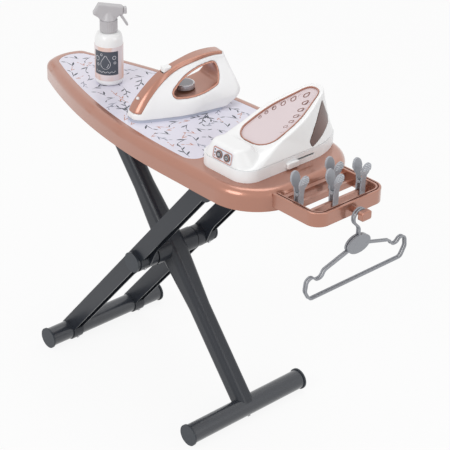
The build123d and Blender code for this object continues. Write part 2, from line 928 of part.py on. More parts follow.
def peg_lever(x, y, way):
    """One lever of a peg, on the way side of its bar, with its two knuckles on the pin."""
    jaw_x = rack_bar_w / 2 + jaw_gap
    waist_x = peg_knuckle_r + pass_gap
    pad_low = peg_top - pad_h
    pad_x = peg_spread - (peg_spread - peg_waist) * pad_h / (peg_top - peg_pivot_z)
    inner = 0 if way > 0 else peg_knuckle_w + peg_knuckle_gap
    knuckle_start = peg_spring_w / 2 + peg_knuckle_gap + inner
    with BuildPart() as lever:
        with BuildSketch(across(x, 0, y + paddle_w / 2)):
            with BuildLine():
                Polyline(
                    (way * jaw_x, peg_jaw_low),
                    (way * jaw_x, rack_bar_top),
                    (way * waist_x, peg_pivot_z),
                    (way * (peg_spread - peg_lever_t), peg_top),
                    (way * (peg_spread + peg_pad_t), peg_top),
                    (way * (pad_x + peg_pad_t), pad_low),
                    (way * pad_x, pad_low),
                    (way * peg_waist, peg_pivot_z),
                    (way * peg_waist, rack_bar_top),
                    (way * (jaw_x + peg_tip_t), peg_jaw_low),
                    close=True,
                )
            make_face()
        extrude(amount=paddle_w)
        with BuildSketch(Plane(origin=(x, y, 0), x_dir=(0, 1, 0), z_dir=(1, 0, 0))):
            add(peg_front_view())
        extrude(amount=way * (peg_spread + peg_pad_t), mode=Mode.INTERSECT)
        for side in (-1, 1):
            with BuildSketch(across(x, peg_pivot_z, y + side * knuckle_start)):
                Circle(peg_knuckle_r)
                with Locations((way * peg_waist / 2, 0)):
                    Rectangle(peg_waist - peg_lever_t, peg_knuckle_r * 2)
            extrude(amount=-side * peg_knuckle_w)
        with BuildSketch(across(x, peg_pivot_z, y + neck_w / 2)):
            Circle(peg_pin_r + (run_fit if way > 0 else 0))
        extrude(amount=neck_w, mode=Mode.SUBTRACT if way > 0 else Mode.ADD)
    return lever


for number, (x, y) in enumerate(peg_places, start=1):
    save(peg_lever(x, y, -1), f"peg_{number}_back_jaw")
    save(peg_lever(x, y, 1), f"peg_{number}_front_jaw")
    with BuildPart() as peg_spring:
        with BuildSketch(across(x, peg_pivot_z, y + peg_spring_w / 2)):
            Circle(peg_knuckle_r)
            Circle(peg_pin_r + seat_fit, mode=Mode.SUBTRACT)
        extrude(amount=peg_spring_w)
    save(peg_spring, f"peg_{number}_spring")


# Hangers: bent round rod with a plain disc in the middle and a hook over the stalk
def hanger(x):
    """One hanger in the plane at x."""
    plane = Plane.YZ.offset(x)
    side = [(hanger_half * a, disc_z - hanger_drop * b) for a, b in hanger_shares]
    points = [(stalk_y + a, b) for a, b in side] + [(stalk_y - a, b) for a, b in reversed(side)]
    turn = radians(hook_start)
    hook_foot = (stalk_y + hook_r * cos(turn), hook_z + hook_r * sin(turn))
    with BuildPart() as piece:
        with BuildLine(plane) as frame:
            FilletPolyline(*points, radius=hanger_bend)
        with BuildSketch(Plane(origin=frame.line @ 0, z_dir=frame.line % 0)):
            Circle(hanger_r)
        sweep(path=frame.line)
        with BuildLine(plane) as hook:
            FilletPolyline(
                (stalk_y, disc_z + disc_h / 2 - hanger_r),
                (stalk_y, hook_z - hook_r * sqrt(2)),
                hook_foot,
                radius=hook_bend,
            )
            CenterArc((stalk_y, hook_z), hook_r, hook_start, -hook_sweep)
        with BuildSketch(Plane(origin=hook.line @ 0, z_dir=hook.line % 0)):
            Circle(hanger_r)
        sweep(path=hook.line)
        with BuildSketch(plane.offset(-disc_t / 2)):
            with Locations((stalk_y, disc_z)):
                Ellipse(disc_w / 2, disc_h / 2)
        extrude(amount=disc_t)
    return piece


save(hanger(rack_end + hanger_gap), "hanger_1")
save(hanger(rack_end + hanger_gap + hanger_pitch), "hanger_2")


# Steam station: tray, shell with the sole rest, windows, panel, buttons and lock
def hood_form(inset):
    """The hood, drawn in by inset, from the tray up."""
    with BuildPart() as form:
        with BuildSketch(station_plane(belt_z)):
            with Locations((0, station_front + hood_depth / 2)):
                RectangleRounded(
                    (hood_half - inset) * 2, hood_depth - inset * 2, hood_corner - inset
                )
        with BuildSketch(station_plane(belt_z + hood_height - inset)):
            with Locations((0, station_front + hood_lean + hood_top_depth / 2)):
                RectangleRounded(
                    (hood_top_half - inset) * 2, hood_top_depth - inset * 2,
                    hood_top_corner - inset,
                )
        loft(ruled=True)
        if inset == 0:
            fillet(form.faces().sort_by(Axis.Z)[-1].edges(), radius=hood_edge)
    return form.part


def body_form(inset, lift):
    """The sloping body, drawn in by inset, from the tray up to the rest's plane and lift."""
    with BuildPart() as form:
        with BuildSketch(station_plane(belt_z)):
            add(base_outline(inset))
        with BuildSketch(rest_plane(lift)):
            add(rest_outline(inset - bezel))
        loft()
    return form.part


hood_plane = Plane(
    origin=(station_x, station_front, belt_z), x_dir=(1, 0, 0), z_dir=(0, -1, 0)
).rotated((-hood_tilt, 0, 0))
panel_up = (panel_z - belt_z) / cos(radians(hood_tilt))
button_x = (button_shift - button_pitch / 2, button_shift + button_pitch / 2)

with BuildPart() as station_outside:
    add(body_form(0, bezel_lip))
    add(hood_form(0))

with BuildPart() as station_inside:
    add(body_form(station_wall, -rest_t - station_wall))
    add(hood_form(station_wall))

with BuildPart() as window_block:
    with BuildSketch(Plane.YZ.offset(station_x - station_half)):
        with BuildLine():
            Polyline(*window_points, close=True)
        make_face()
    extrude(amount=station_half * 2)

with BuildPart() as station_shell:
    add(station_outside.part)
    add(station_inside.part, mode=Mode.SUBTRACT)
    with BuildSketch(rest_plane(-rest_t)):
        add(rest_outline())
    extrude(amount=rest_t + bezel_lip + overrun, mode=Mode.SUBTRACT)
    add(window_block.part, mode=Mode.SUBTRACT)
    with BuildSketch(hood_plane.offset(panel_stand - panel_plate_t)):
        with Locations((panel_shift, panel_up)):
            RectangleRounded(panel_w + seat_fit * 2, panel_h + seat_fit * 2, panel_r)
    extrude(amount=overrun, mode=Mode.SUBTRACT)
    with BuildSketch(hood_plane):
        with Locations(*[(x, panel_up) for x in button_x]):
            Circle(button_d / 2 + run_fit)
    extrude(amount=-station_wall * 2, mode=Mode.SUBTRACT)
save(station_shell, "station_shell")

with BuildPart() as window_inner:
    with BuildSketch(Plane.YZ.offset(station_x - station_half)):
        with BuildLine():
            Polyline(*window_points, close=True)
        make_face()
        offset(amount=-window_gap, mode=Mode.REPLACE)
    extrude(amount=station_half * 2)

with BuildPart() as tank_windows:
    add(station_outside.part)
    add(station_inside.part, mode=Mode.SUBTRACT)
    add(window_inner.part, mode=Mode.INTERSECT)
save(tank_windows, "tank_windows")

with BuildPart() as rest_plate:
    with BuildSketch(rest_plane(-rest_t)):
        add(rest_outline(trim_w + seat_fit))
    extrude(amount=rest_t)
    length = rest_length - trim_w
    for shares in (eyelet_far_shares, eyelet_near_shares):
        for place, (a, b) in enumerate(shares):
            growth = 1 + eyelet_growth_share * place / len(shares)
            with BuildSketch(rest_plane()):
                with Locations(Location((rest_half * a, length * b), eyelet_turn - eyelet_fan * a)):
                    Ellipse(eyelet_l * growth / 2, eyelet_w * growth / 2)
            extrude(amount=-eyelet_depth, mode=Mode.SUBTRACT)
save(rest_plate, "rest_plate")

with BuildPart() as rest_trim:
    with BuildSketch(rest_plane(-rest_t)):
        add(rest_outline(seat_fit))
        add(rest_outline(trim_w), mode=Mode.SUBTRACT)
    extrude(amount=rest_t + trim_lip)
save(rest_trim, "rest_trim")

with BuildPart() as control_panel:
    with BuildSketch(hood_plane.offset(panel_stand - panel_plate_t)):
        with Locations((panel_shift, panel_up)):
            RectangleRounded(panel_w, panel_h, panel_r)
        with Locations(*[(x, panel_up) for x in button_x]):
            Circle(button_d / 2 + run_fit, mode=Mode.SUBTRACT)
    extrude(amount=panel_plate_t)
save(control_panel, "control_panel")

button_depth = station_wall + pass_gap * 2
for name, x in (("steam_button", button_x[0]), ("power_button", button_x[1])):
    with BuildPart() as button:
        with BuildSketch(hood_plane.offset(panel_stand + button_stand)):
            with Locations((x, panel_up)):
                Circle(button_d / 2)
        extrude(amount=-panel_stand - button_stand - button_depth)
        fillet(button.faces().sort_by(Axis.Y)[0].edges(), radius=button_edge)
        with BuildSketch(hood_plane.offset(-button_depth)):
            with Locations((x, panel_up)):
                Circle(button_d / 2 + button_flange)
        extrude(amount=-button_flange)
    save(button, name)

with BuildPart() as station_base:
    with BuildSketch(station_plane(base_z)):
        add(base_outline())
    extrude(amount=base_height - belt_gap)
    with BuildSketch(station_plane(base_z + station_wall)):
        add(base_outline(station_wall))
    extrude(amount=base_height, mode=Mode.SUBTRACT)
    for plane in station_screw_planes:
        with BuildSketch(plane.offset(base_z - ceiling_z)):
            Circle(boss_d / 2)
        extrude(amount=station_screw_length)
        with BuildSketch(plane):
            Circle(screw_d / 2 + seat_fit)
        extrude(amount=station_screw_length + pass_gap, mode=Mode.SUBTRACT)
    # The lock's slot in the right-hand wall
    with BuildSketch(Plane.YZ.offset(station_x + station_half - station_wall * 2)):
        with Locations((slot_start, slider_z - slot_h / 2)):
            Rectangle(slot_end - slot_start, slot_h, align=(Align.MIN, Align.MIN))
    extrude(amount=station_wall * 2 + overrun, mode=Mode.SUBTRACT)
save(station_base, "station_base")

# Lock slider: tab outside, stem through the slot, foot behind the wall
wall_x = station_x + station_half
tab_y = slot_start + tab_length / 2
with BuildPart() as lock_slider:
    with BuildSketch(Plane.YZ.offset(wall_x + pass_gap)):
        with Locations((tab_y, slider_z - tab_drop)):
            RectangleRounded(tab_length, tab_h, tab_round)
    extrude(amount=tab_out)
    fillet(lock_slider.faces().sort_by(Axis.X)[-1].edges(), radius=tab_edge)
    with BuildSketch(Plane.YZ.offset(wall_x - station_wall - pass_gap)):
        with Locations((slot_start + run_fit + slider_stem / 2, slider_z)):
            Rectangle(slider_stem, slot_h - run_fit * 2)
    extrude(amount=station_wall + pass_gap * 2)
    with BuildSketch(Plane.YZ.offset(wall_x - station_wall - pass_gap)):
        with Locations((slot_start + run_fit + slider_stem / 2, slider_z)):
            Rectangle(slider_stem, slot_h + slider_foot)
    extrude(amount=-slider_foot)
save(lock_slider, "lock_slider")


# Iron
def iron_side(lift):
    """Plane up and down the middle of the iron, moved sideways by lift: x along it, y up."""
    return Plane(
        origin=(iron_x + lift * cos(heading), iron_y - lift * sin(heading), rest_z),
        x_dir=(sin(heading), cos(heading), 0),
        z_dir=(cos(heading), -sin(heading), 0),
    )


def iron_level(height):
    """Level plane at a height over the panel: x to the iron's right, y along it."""
    return Plane(
        origin=(iron_x, iron_y, rest_z + height),
        x_dir=(cos(heading), -sin(heading), 0),
        z_dir=(0, 0, 1),
    )


def iron_plan(heel, tip, half):
    """Level outline of the iron, filled, from its heel to its tip."""
    run = heel - tip
    return sole_outline(
        heel, tip, half, iron_corner * half / iron_half, tip + run * iron_straight_share,
        iron_side_shares,
    )


def iron_profile(drop):
    """Side view of the iron, filled, its top line lowered by drop."""
    points = [(iron_length * a + drop, iron_height * b - drop) for a, b in iron_top_shares]
    heel_low = iron_height * iron_heel_share
    sole_end = iron_length * iron_section_shares[0][2]
    with BuildSketch() as view:
        with BuildLine():
            top = Spline(*points)
            Polyline(
                top @ 1, (iron_length, heel_low), (sole_end, sole_t), (points[0][0], sole_t),
                top @ 0,
            )
        make_face()
    return view.sketch


def iron_point(share):
    """Place in the iron's side view, given as shares of its length and height."""
    return iron_length * share[0], iron_height * share[1]


def handle_opening(inset):
    """The hole under the handle, filled, drawn in by inset."""
    front, floor, low, back, high, arch = (
        iron_point(share)
        for share in (
            opening_front_share, opening_floor_share, opening_low_share, opening_back_share,
            opening_high_share, opening_arch_share,
        )
    )
    with BuildSketch() as view:
        with BuildLine():
            ThreePointArc(front, floor, low)
            ThreePointArc(low, back, high)
            ThreePointArc(high, arch, front)
        make_face()
        fillet(view.vertices(), radius=opening_round)
        if inset > 0:
            offset(amount=-inset, mode=Mode.REPLACE)
    return view.sketch


def through_iron(sketch):
    """A side view sketch taken right through the iron's width."""
    with BuildPart() as block:
        with BuildSketch(iron_side(-iron_half)):
            add(sketch)
        extrude(amount=iron_half * 2)
    return block.part


def strip_view():
    """Side view of the grip strip along the iron's top line, filled."""
    with BuildSketch() as view:
        add(iron_profile(0))
        add(iron_profile(strip_t), mode=Mode.SUBTRACT)
        with Locations((-iron_wall, iron_height * strip_low_share)):
            Rectangle(
                iron_length * strip_end_share + iron_wall, iron_height,
                align=(Align.MIN, Align.MIN), mode=Mode.INTERSECT,
            )
    return view.sketch


with BuildPart() as iron_form:
    for height, tip, heel, half in iron_section_shares:
        with BuildSketch(iron_level(iron_height * height)):
            add(iron_plan(iron_length * heel, iron_length * tip, iron_half * half))
    loft()
    add(through_iron(iron_profile(0)), mode=Mode.INTERSECT)

strip_block = through_iron(strip_view())

with BuildPart() as button_well:
    with BuildSketch(iron_level(iron_button_top - iron_button_deep - iron_button_travel)):
        with Locations((0, iron_button_s)):
            RectangleRounded(
                iron_button_w + run_fit * 2, iron_button_l + run_fit * 2, iron_button_edge
            )
    extrude(amount=iron_height)

rise = radians(nozzle_rise)
nozzle_s, nozzle_h = iron_point(nozzle_share)
nozzle_plane = Plane(
    origin=(
        iron_x + nozzle_s * sin(heading), iron_y + nozzle_s * cos(heading), rest_z + nozzle_h
    ),
    z_dir=(-cos(rise) * sin(heading), -cos(rise) * cos(heading), sin(rise)),
)

with BuildPart() as spray_nozzle:
    with BuildSketch(nozzle_plane.offset(-nozzle_root)):
        Circle(nozzle_r)
    extrude(amount=nozzle_root + nozzle_reach)
    fillet(spray_nozzle.faces().sort_by(Axis.Z)[-1].edges(), radius=nozzle_r / 2)
save(spray_nozzle, "spray_nozzle")

with BuildPart() as iron_shell:
    add(iron_form.part)
    add(through_iron(handle_opening(0)), mode=Mode.SUBTRACT)
    add(strip_block, mode=Mode.SUBTRACT)
    add(button_well.part, mode=Mode.SUBTRACT)
    add(spray_nozzle.part, mode=Mode.SUBTRACT)
    with BuildSketch(iron_level(sole_t)):
        add(iron_plan(
            iron_length * iron_section_shares[0][2] - iron_wall,
            iron_cavity_tip, iron_half - iron_wall,
        ))
    extrude(amount=iron_cavity_top - sole_t, mode=Mode.SUBTRACT)
    with BuildSketch(iron_level(0)):
        with Locations((0, dial_s)):
            Circle(dial_stem_r + run_fit)
    extrude(amount=iron_height / 2, mode=Mode.SUBTRACT)
save(iron_shell, "iron_shell")

with BuildPart() as grip_strip:
    add(iron_form.part)
    add(strip_block, mode=Mode.INTERSECT)
    add(button_well.part, mode=Mode.SUBTRACT)
    add(spray_nozzle.part, mode=Mode.SUBTRACT)
save(grip_strip, "grip_strip")

with BuildPart() as handle_lining:
    add(iron_form.part)
    add(through_iron(handle_opening(0)), mode=Mode.INTERSECT)
    add(through_iron(handle_opening(lining_t)), mode=Mode.SUBTRACT)
    with BuildSketch(iron_level(0)):
        with Locations((0, dial_s)):
            Circle(dial_stem_r + run_fit)
    extrude(amount=iron_height / 2, mode=Mode.SUBTRACT)
save(handle_lining, "handle_lining")

with BuildPart() as soleplate:
    with BuildSketch(iron_level(0)):
        add(iron_plan(
            iron_length * iron_section_shares[0][2] - sole_inset, sole_inset,
            iron_half - sole_inset,
        ))
    extrude(amount=sole_t)
save(soleplate, "soleplate")

dial_low = iron_height * opening_floor_share[1] + lining_t + dial_gap
with BuildPart() as dial:
    with BuildSketch(iron_level(dial_low)):
        with Locations((0, dial_s)):
            Circle(dial_d / 2)
    extrude(amount=dial_h)
    fillet(dial.faces().sort_by(Axis.Z)[-1].edges(), radius=dial_grip_r)
    with BuildSketch(iron_level(dial_low)):
        with Locations((0, dial_s)):
            with PolarLocations(dial_d / 2 + dial_grip_r / 2, dial_grips):
                Circle(dial_grip_r)
    extrude(amount=dial_h, mode=Mode.SUBTRACT)
    with BuildSketch(iron_level(dial_low)):
        with Locations((0, dial_s)):
            Circle(dial_stem_r)
    extrude(amount=-dial_stem)
save(dial, "dial")

with BuildPart() as iron_button:
    with BuildSketch(iron_level(iron_button_top)):
        with Locations((0, iron_button_s)):
            RectangleRounded(iron_button_w, iron_button_l, iron_button_edge)
    extrude(amount=-iron_button_deep)
    fillet(iron_button.faces().sort_by(Axis.Z)[-1].edges(), radius=iron_button_edge / 2)
save(iron_button, "iron_button")


# Spray bottle
def bottle_level(height):
    """Level plane at a height over the panel, centred on the bottle."""
    return Plane(origin=(bottle_x, bottle_y, rest_z + height))


def bottle_side(lift=0.0):
    """Upright plane through the bottle's middle, moved sideways: x the way it sprays, y up."""
    return Plane(
        origin=(
            bottle_x + lift * sin(spray_way), bottle_y - lift * cos(spray_way), rest_z
        ),
        x_dir=(cos(spray_way), sin(spray_way), 0),
        z_dir=(sin(spray_way), -cos(spray_way), 0),
    )


def head_point(share):
    """Place in the sprayer head's side view, given as shares of its reach and height."""
    return head_reach * share[0], collar_high + head_height * share[1]


spout_s, spout_h = head_point(spout_share)
trigger_pin, trigger_bend, trigger_tip = (
    head_point(share) for share in (trigger_pin_share, trigger_bend_share, trigger_tip_share)
)
spout_plane = Plane(
    origin=(
        bottle_x + spout_s * cos(spray_way), bottle_y + spout_s * sin(spray_way),
        rest_z + spout_h,
    ),
    x_dir=(sin(spray_way), -cos(spray_way), 0),
    z_dir=(cos(spray_way), sin(spray_way), 0),
)
bottle_axis = Axis((bottle_x, bottle_y, 0), (0, 0, 1))
skin_r = bottle_r - label_t

with BuildPart() as bottle_body:
    for inset in (0, bottle_wall):
        with BuildSketch(bottle_side()):
            with BuildLine():
                low = Line((0, inset), (skin_r - bottle_foot, inset))
                foot = TangentArc(low @ 1, (skin_r - inset, bottle_foot), tangent=(1, 0))
                side = Line(foot @ 1, (skin_r - inset, label_high))
                dome = Spline(
                    side @ 1, (neck_r - inset, neck_low - inset), tangents=((0, 1), (-1, 0)),
                )
                Polyline(
                    dome @ 1, (neck_r - inset, neck_high + inset), (0, neck_high + inset),
                    (0, inset),
                )
            make_face()
        revolve(axis=bottle_axis, mode=Mode.SUBTRACT if inset else Mode.ADD)
save(bottle_body, "bottle_body")

with BuildPart() as bottle_label:
    with BuildSketch(bottle_level(label_low)):
        Circle(bottle_r)
        Circle(skin_r + seat_fit, mode=Mode.SUBTRACT)
    extrude(amount=label_high - label_low)
save(bottle_label, "bottle_label")

with BuildPart() as bottle_collar:
    with BuildSketch(bottle_level(collar_low)):
        Circle(collar_r)
        with PolarLocations(collar_r + collar_rib_r / 2, collar_ribs):
            Circle(collar_rib_r, mode=Mode.SUBTRACT)
    extrude(amount=collar_high - collar_low)
    with BuildSketch(bottle_level(collar_low)):
        Circle(neck_r + seat_fit)
    extrude(amount=neck_high - collar_low, mode=Mode.SUBTRACT)
    with BuildSketch(bottle_level(collar_low)):
        Circle(dip_r + seat_fit)
    extrude(amount=collar_high - collar_low, mode=Mode.SUBTRACT)
save(bottle_collar, "bottle_collar")

with BuildPart() as sprayer_head:
    with BuildSketch(bottle_side(-head_w / 2)) as head_view:
        with BuildLine():
            Polyline(*[head_point(share) for share in head_shares], close=True)
        make_face()
        fillet(head_view.vertices(), radius=head_round)
    extrude(amount=head_w)
    fillet(sprayer_head.faces().filter_by(bottle_side()).edges(), radius=head_edge)
    with BuildSketch(bottle_level(collar_high)):
        Circle(cone_low_r)
    with BuildSketch(bottle_level(cone_high)):
        Circle(cone_high_r)
    loft(ruled=True)
    with BuildSketch(bottle_side(-trigger_slot / 2)):
        with Locations((trigger_pin[0] - slot_reach, 0)):
            Rectangle(
                slot_reach * 2, trigger_pin[1] + slot_rise, align=(Align.MIN, Align.MIN)
            )
    extrude(amount=trigger_slot, mode=Mode.SUBTRACT)
    with BuildSketch(bottle_side(-trigger_slot / 2)):
        with Locations(trigger_pin):
            Circle(trigger_pin_r)
    extrude(amount=trigger_slot)
    with BuildSketch(spout_plane):
        Circle(spout_r)
    extrude(amount=spout_l)
    with BuildSketch(bottle_level(collar_high)):
        Circle(dip_r + seat_fit)
    extrude(amount=dip_socket, mode=Mode.SUBTRACT)
save(sprayer_head, "sprayer_head")

with BuildPart() as nozzle_cap:
    with BuildSketch(spout_plane.offset(pass_gap)):
        RectangleRounded(cap_side, cap_side, cap_round)
    extrude(amount=cap_length)
    fillet(nozzle_cap.faces().filter_by(spout_plane)[-1].edges(), radius=cap_round / 3)
    with BuildSketch(spout_plane):
        Circle(spout_r + run_fit)
    extrude(amount=spout_l + pass_gap, mode=Mode.SUBTRACT)
    with BuildSketch(spout_plane):
        Circle(spray_hole_r)
    extrude(amount=cap_length + overrun, mode=Mode.SUBTRACT)
save(nozzle_cap, "nozzle_cap")

with BuildPart() as trigger:
    with BuildSketch(bottle_side(-trigger_w / 2)):
        with BuildLine() as arm:
            FilletPolyline(trigger_pin, trigger_bend, trigger_tip, radius=trigger_curve)
        trace(arm.line, line_width=trigger_t)
        with Locations(trigger_pin):
            Circle(trigger_eye_r)
        with Locations(trigger_tip):
            Circle(trigger_t / 2)
        with Locations(trigger_pin):
            Circle(trigger_pin_r + run_fit, mode=Mode.SUBTRACT)
    extrude(amount=trigger_w)
save(trigger, "trigger")

with BuildPart() as dip_tube:
    with BuildSketch(bottle_level(dip_low)):
        Circle(dip_r)
        Circle(dip_r - dip_wall, mode=Mode.SUBTRACT)
    extrude(amount=collar_high + dip_socket - dip_low)
save(dip_tube, "dip_tube")
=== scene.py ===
"""Looks of a toy ironing board set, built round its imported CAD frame.

Each sub-assembly of the toy is a class. Its fields hold the sizes that its own pieces need, and its
methods model those pieces and dress the CAD nodes that show. Lengths are in metres, in the frame of the
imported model: X along the board towards the peg rack, Y across it, Z up from the floor.
"""

from __future__ import annotations

import logging
import math
import random
from collections.abc import Callable
from dataclasses import dataclass
from enum import Enum
from functools import cache

import bmesh
import bpy
from mathutils import Matrix, Vector

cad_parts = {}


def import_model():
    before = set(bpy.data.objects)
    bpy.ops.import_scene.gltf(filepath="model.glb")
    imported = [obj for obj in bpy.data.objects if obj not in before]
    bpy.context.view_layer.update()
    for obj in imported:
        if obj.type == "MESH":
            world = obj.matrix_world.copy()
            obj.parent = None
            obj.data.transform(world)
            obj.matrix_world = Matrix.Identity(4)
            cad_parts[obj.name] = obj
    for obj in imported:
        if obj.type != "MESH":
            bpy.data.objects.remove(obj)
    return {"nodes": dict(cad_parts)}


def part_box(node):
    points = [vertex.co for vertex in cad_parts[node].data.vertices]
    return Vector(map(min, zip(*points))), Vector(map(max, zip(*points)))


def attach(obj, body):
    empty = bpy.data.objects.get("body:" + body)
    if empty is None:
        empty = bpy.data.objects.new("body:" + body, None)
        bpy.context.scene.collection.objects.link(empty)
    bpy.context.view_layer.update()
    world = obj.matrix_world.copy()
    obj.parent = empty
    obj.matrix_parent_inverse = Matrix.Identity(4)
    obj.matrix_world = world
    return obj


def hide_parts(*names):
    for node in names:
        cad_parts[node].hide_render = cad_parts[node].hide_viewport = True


log = logging.getLogger("ironing_board")

Colour = tuple[float, float, float]
Point = tuple[float, float, float]
Inputs = dict[str | int, bpy.types.NodeSocket | float | tuple[float, ...]]
Piece = bpy.types.Object


def linear(colour: Colour) -> tuple[float, float, float, float]:
    """Turn a screen's colour into the linear colour that a shader takes.

    Args:
        colour: The screen's red, green and blue, from 0 to 1.

    Returns:
        The linear red, green and blue, with an alpha of 1.
    """
    red, green, blue = (
        value / 12.92 if value <= 0.04045 else ((value + 0.055) / 1.055) ** 2.4 for value in colour
    )
    return red, green, blue, 1.0


# Finishes


class Skin(Enum):
    """The shader node groups that give a surface its fine texture."""

    MOULDED = "moulded_skin"
    BRUSHED = "brushed_skin"


def fill(node: bpy.types.Node, inputs: Inputs) -> None:
    """Fill some inputs of a shader node.

    Args:
        node: The node.
        inputs: What goes into each, a socket that is linked or a value that is set.
    """
    for key, source in inputs.items():
        if isinstance(source, bpy.types.NodeSocket):
            node.id_data.links.new(source, node.inputs[key])
        else:
            node.inputs[key].default_value = source


def add(tree: bpy.types.NodeTree, kind: str, inputs: Inputs, operation: str = "") -> bpy.types.Node:
    """Add a shader node and fill its inputs.

    Args:
        tree: The node tree.
        kind: Blender's name of the node's kind.
        inputs: What goes into its inputs.
        operation: What it works out, where it has a choice.

    Returns:
        The node.
    """
    node = tree.nodes.new(kind)
    if operation:
        node.operation = operation
    fill(node, inputs)
    return node


@cache
def build_skin(skin: Skin) -> bpy.types.ShaderNodeTree:
    """Build the node group of a skin, once.

    Moulded skin has soft clouds of tone, as moulded plastic has where it cooled, and a fine grain.
    Brushed skin has the same clouds and a grain drawn out along one way.

    Args:
        skin: Which skin to build.

    Returns:
        The node group.
    """
    group = bpy.data.node_groups.new(skin.value, "ShaderNodeTree")
    for way, kind, labels in (
        ("INPUT", "NodeSocketColor", ("Colour",)),
        ("INPUT", "NodeSocketFloat", ("Tint", "Roughness", "Spread", "Cloud Scale", "Grain Scale")),
        ("OUTPUT", "NodeSocketColor", ("Colour",)),
        ("OUTPUT", "NodeSocketFloat", ("Roughness", "Height")),
    ):
        for label in labels:
            group.interface.new_socket(label, in_out=way, socket_type=kind)
    start = group.nodes.new("NodeGroupInput").outputs
    place = add(group, "ShaderNodeTexCoord", {}).outputs["Object"]
    stretch = (1.0, 1.0 if skin is Skin.MOULDED else 0.04, 1.0)
    grain_place = add(group, "ShaderNodeMapping", {"Vector": place, "Scale": stretch}).outputs["Vector"]
    clouds = add(group, "ShaderNodeTexNoise", {
        "Vector": place, "Scale": start["Cloud Scale"], "Detail": 2.0}).outputs["Fac"]
    grain = add(group, "ShaderNodeTexNoise", {
        "Vector": grain_place, "Scale": start["Grain Scale"], "Detail": 1.0}).outputs["Fac"]
    centred = add(group, "ShaderNodeMath", {0: clouds, 1: 0.5}, "SUBTRACT").outputs[0]
    shade = add(group, "ShaderNodeMath", {0: centred, 1: start["Tint"], 2: 1.0}, "MULTIPLY_ADD").outputs[0]
    tone = add(group, "ShaderNodeVectorMath", {0: start["Colour"], "Scale": shade}, "SCALE")
    rough = add(group, "ShaderNodeMath", {
        0: centred, 1: start["Spread"], 2: start["Roughness"]}, "MULTIPLY_ADD")
    add(group, "NodeGroupOutput", {
        "Colour": tone.outputs["Vector"], "Roughness": rough.outputs[0], "Height": grain})
    return group


@dataclass(frozen=True)
class Finish:
    """One finish of the toy.

    Attributes:
        name: Its name.
        colour: The colour as a screen shows it, from 0 to 1.
        roughness: How dull it is.
        spread: How much the roughness changes over the surface.
        tint: How much the tone changes over the surface.
        skin: Which fine texture it has.
        cloud_scale: How close together its soft clouds of tone lie.
        grain_scale: How close together its grains lie.
        grain_depth: How deep the grain is, in metres.
        metallic: How much it reflects as metal does.
        coat: How much clear gloss lies over it.
        coat_roughness: How dull that gloss is.
        specular: How strongly it shines where it isn't metal.
        alpha: How much of it is solid.
    """

    name: str
    colour: Colour
    roughness: float = 0.4
    spread: float = 0.06
    tint: float = 0.04
    skin: Skin = Skin.MOULDED
    cloud_scale: float = 30.0
    grain_scale: float = 900.0
    grain_depth: float = 0.000004
    metallic: float = 0.0
    coat: float = 0.0
    coat_roughness: float = 0.08
    specular: float = 0.5
    alpha: float = 1.0

    @cache
    def material(self) -> bpy.types.Material:
        """Make this finish's material, once.

        Returns:
            The material.
        """
        material = bpy.data.materials.new(self.name)
        material.use_nodes = True
        tree = material.node_tree
        group = tree.nodes.new("ShaderNodeGroup")
        group.node_tree = build_skin(self.skin)
        fill(group, {
            "Colour": linear(self.colour), "Tint": self.tint, "Roughness": self.roughness,
            "Spread": self.spread, "Cloud Scale": self.cloud_scale, "Grain Scale": self.grain_scale,
        })
        skin = group.outputs
        bump = add(tree, "ShaderNodeBump", {"Distance": self.grain_depth, "Height": skin["Height"]})
        fill(tree.nodes["Principled BSDF"], {
            "Metallic": self.metallic, "Coat Weight": self.coat, "Coat Roughness": self.coat_roughness,
            "Specular IOR Level": self.specular, "Alpha": self.alpha, "Base Color": skin["Colour"],
            "Roughness": skin["Roughness"], "Normal": bump.outputs["Normal"],
        })
        return material


ROSE_GOLD = Finish("rose_gold_plastic", (0.69, 0.475, 0.395), 0.29, 0.04, 0.05, metallic=0.6, coat=1.0,
                   coat_roughness=0.12)
ROSE_INK = Finish("rose_ink", (0.76, 0.54, 0.46), 0.45)
PALE_PANEL = Finish("pale_panel", (0.90, 0.89, 0.94), 0.30, tint=0.02, coat=0.3, coat_roughness=0.15)
SLATE_INK = Finish("slate_ink", (0.27, 0.29, 0.33), 0.45, tint=0.2, cloud_scale=60.0)
GREY_INK = Finish("grey_ink", (0.56, 0.57, 0.63), 0.45, tint=0.2, cloud_scale=60.0)
SLATE_PLASTIC = Finish("slate_moulding", (0.152, 0.167, 0.196), 0.36, 0.06, 0.10, grain_scale=1400.0,
                       grain_depth=0.000008, specular=0.4, coat=0.15, coat_roughness=0.2)
SLATE_TUBE = Finish("slate_coated_tube", (0.172, 0.188, 0.219), 0.32, 0.06, 0.08, grain_scale=1200.0,
                    grain_depth=0.000006, specular=0.5, coat=0.7, coat_roughness=0.16)
DARK_CAP = Finish("cap_moulding", (0.195, 0.215, 0.243), 0.36, 0.06, 0.06, specular=0.45)
STEEL = Finish("zinc_steel", (0.62, 0.62, 0.63), 0.32, 0.1, 0.06, Skin.BRUSHED, metallic=1.0)
WHITE_GLOSS = Finish("white_gloss_plastic", (0.965, 0.965, 0.965), 0.28, 0.03, 0.012, coat=0.4)
TRAY_WHITE = Finish("tray_white_plastic", (0.975, 0.98, 0.985), 0.42, 0.03, 0.01, specular=0.2)
PANEL_WHITE = Finish("panel_white", (0.90, 0.90, 0.94), 0.35, tint=0.02)
LILAC_PLATE = Finish("lilac_plate", (0.87, 0.81, 0.82), 0.34, tint=0.04, cloud_scale=24.0, coat=0.2)
TANK_WINDOW = Finish("tank_window", (0.42, 0.29, 0.26), 0.18, 0.06, 0.9, cloud_scale=26.0, coat=0.6,
                     alpha=0.93)
# Painted shade: dark brown rings that stand for the shade in the sole rest's embossed drop dimples.
DIMPLE_SHADE_BROWN = Finish("dimple_painted_shade", (0.50, 0.33, 0.29), 0.45)
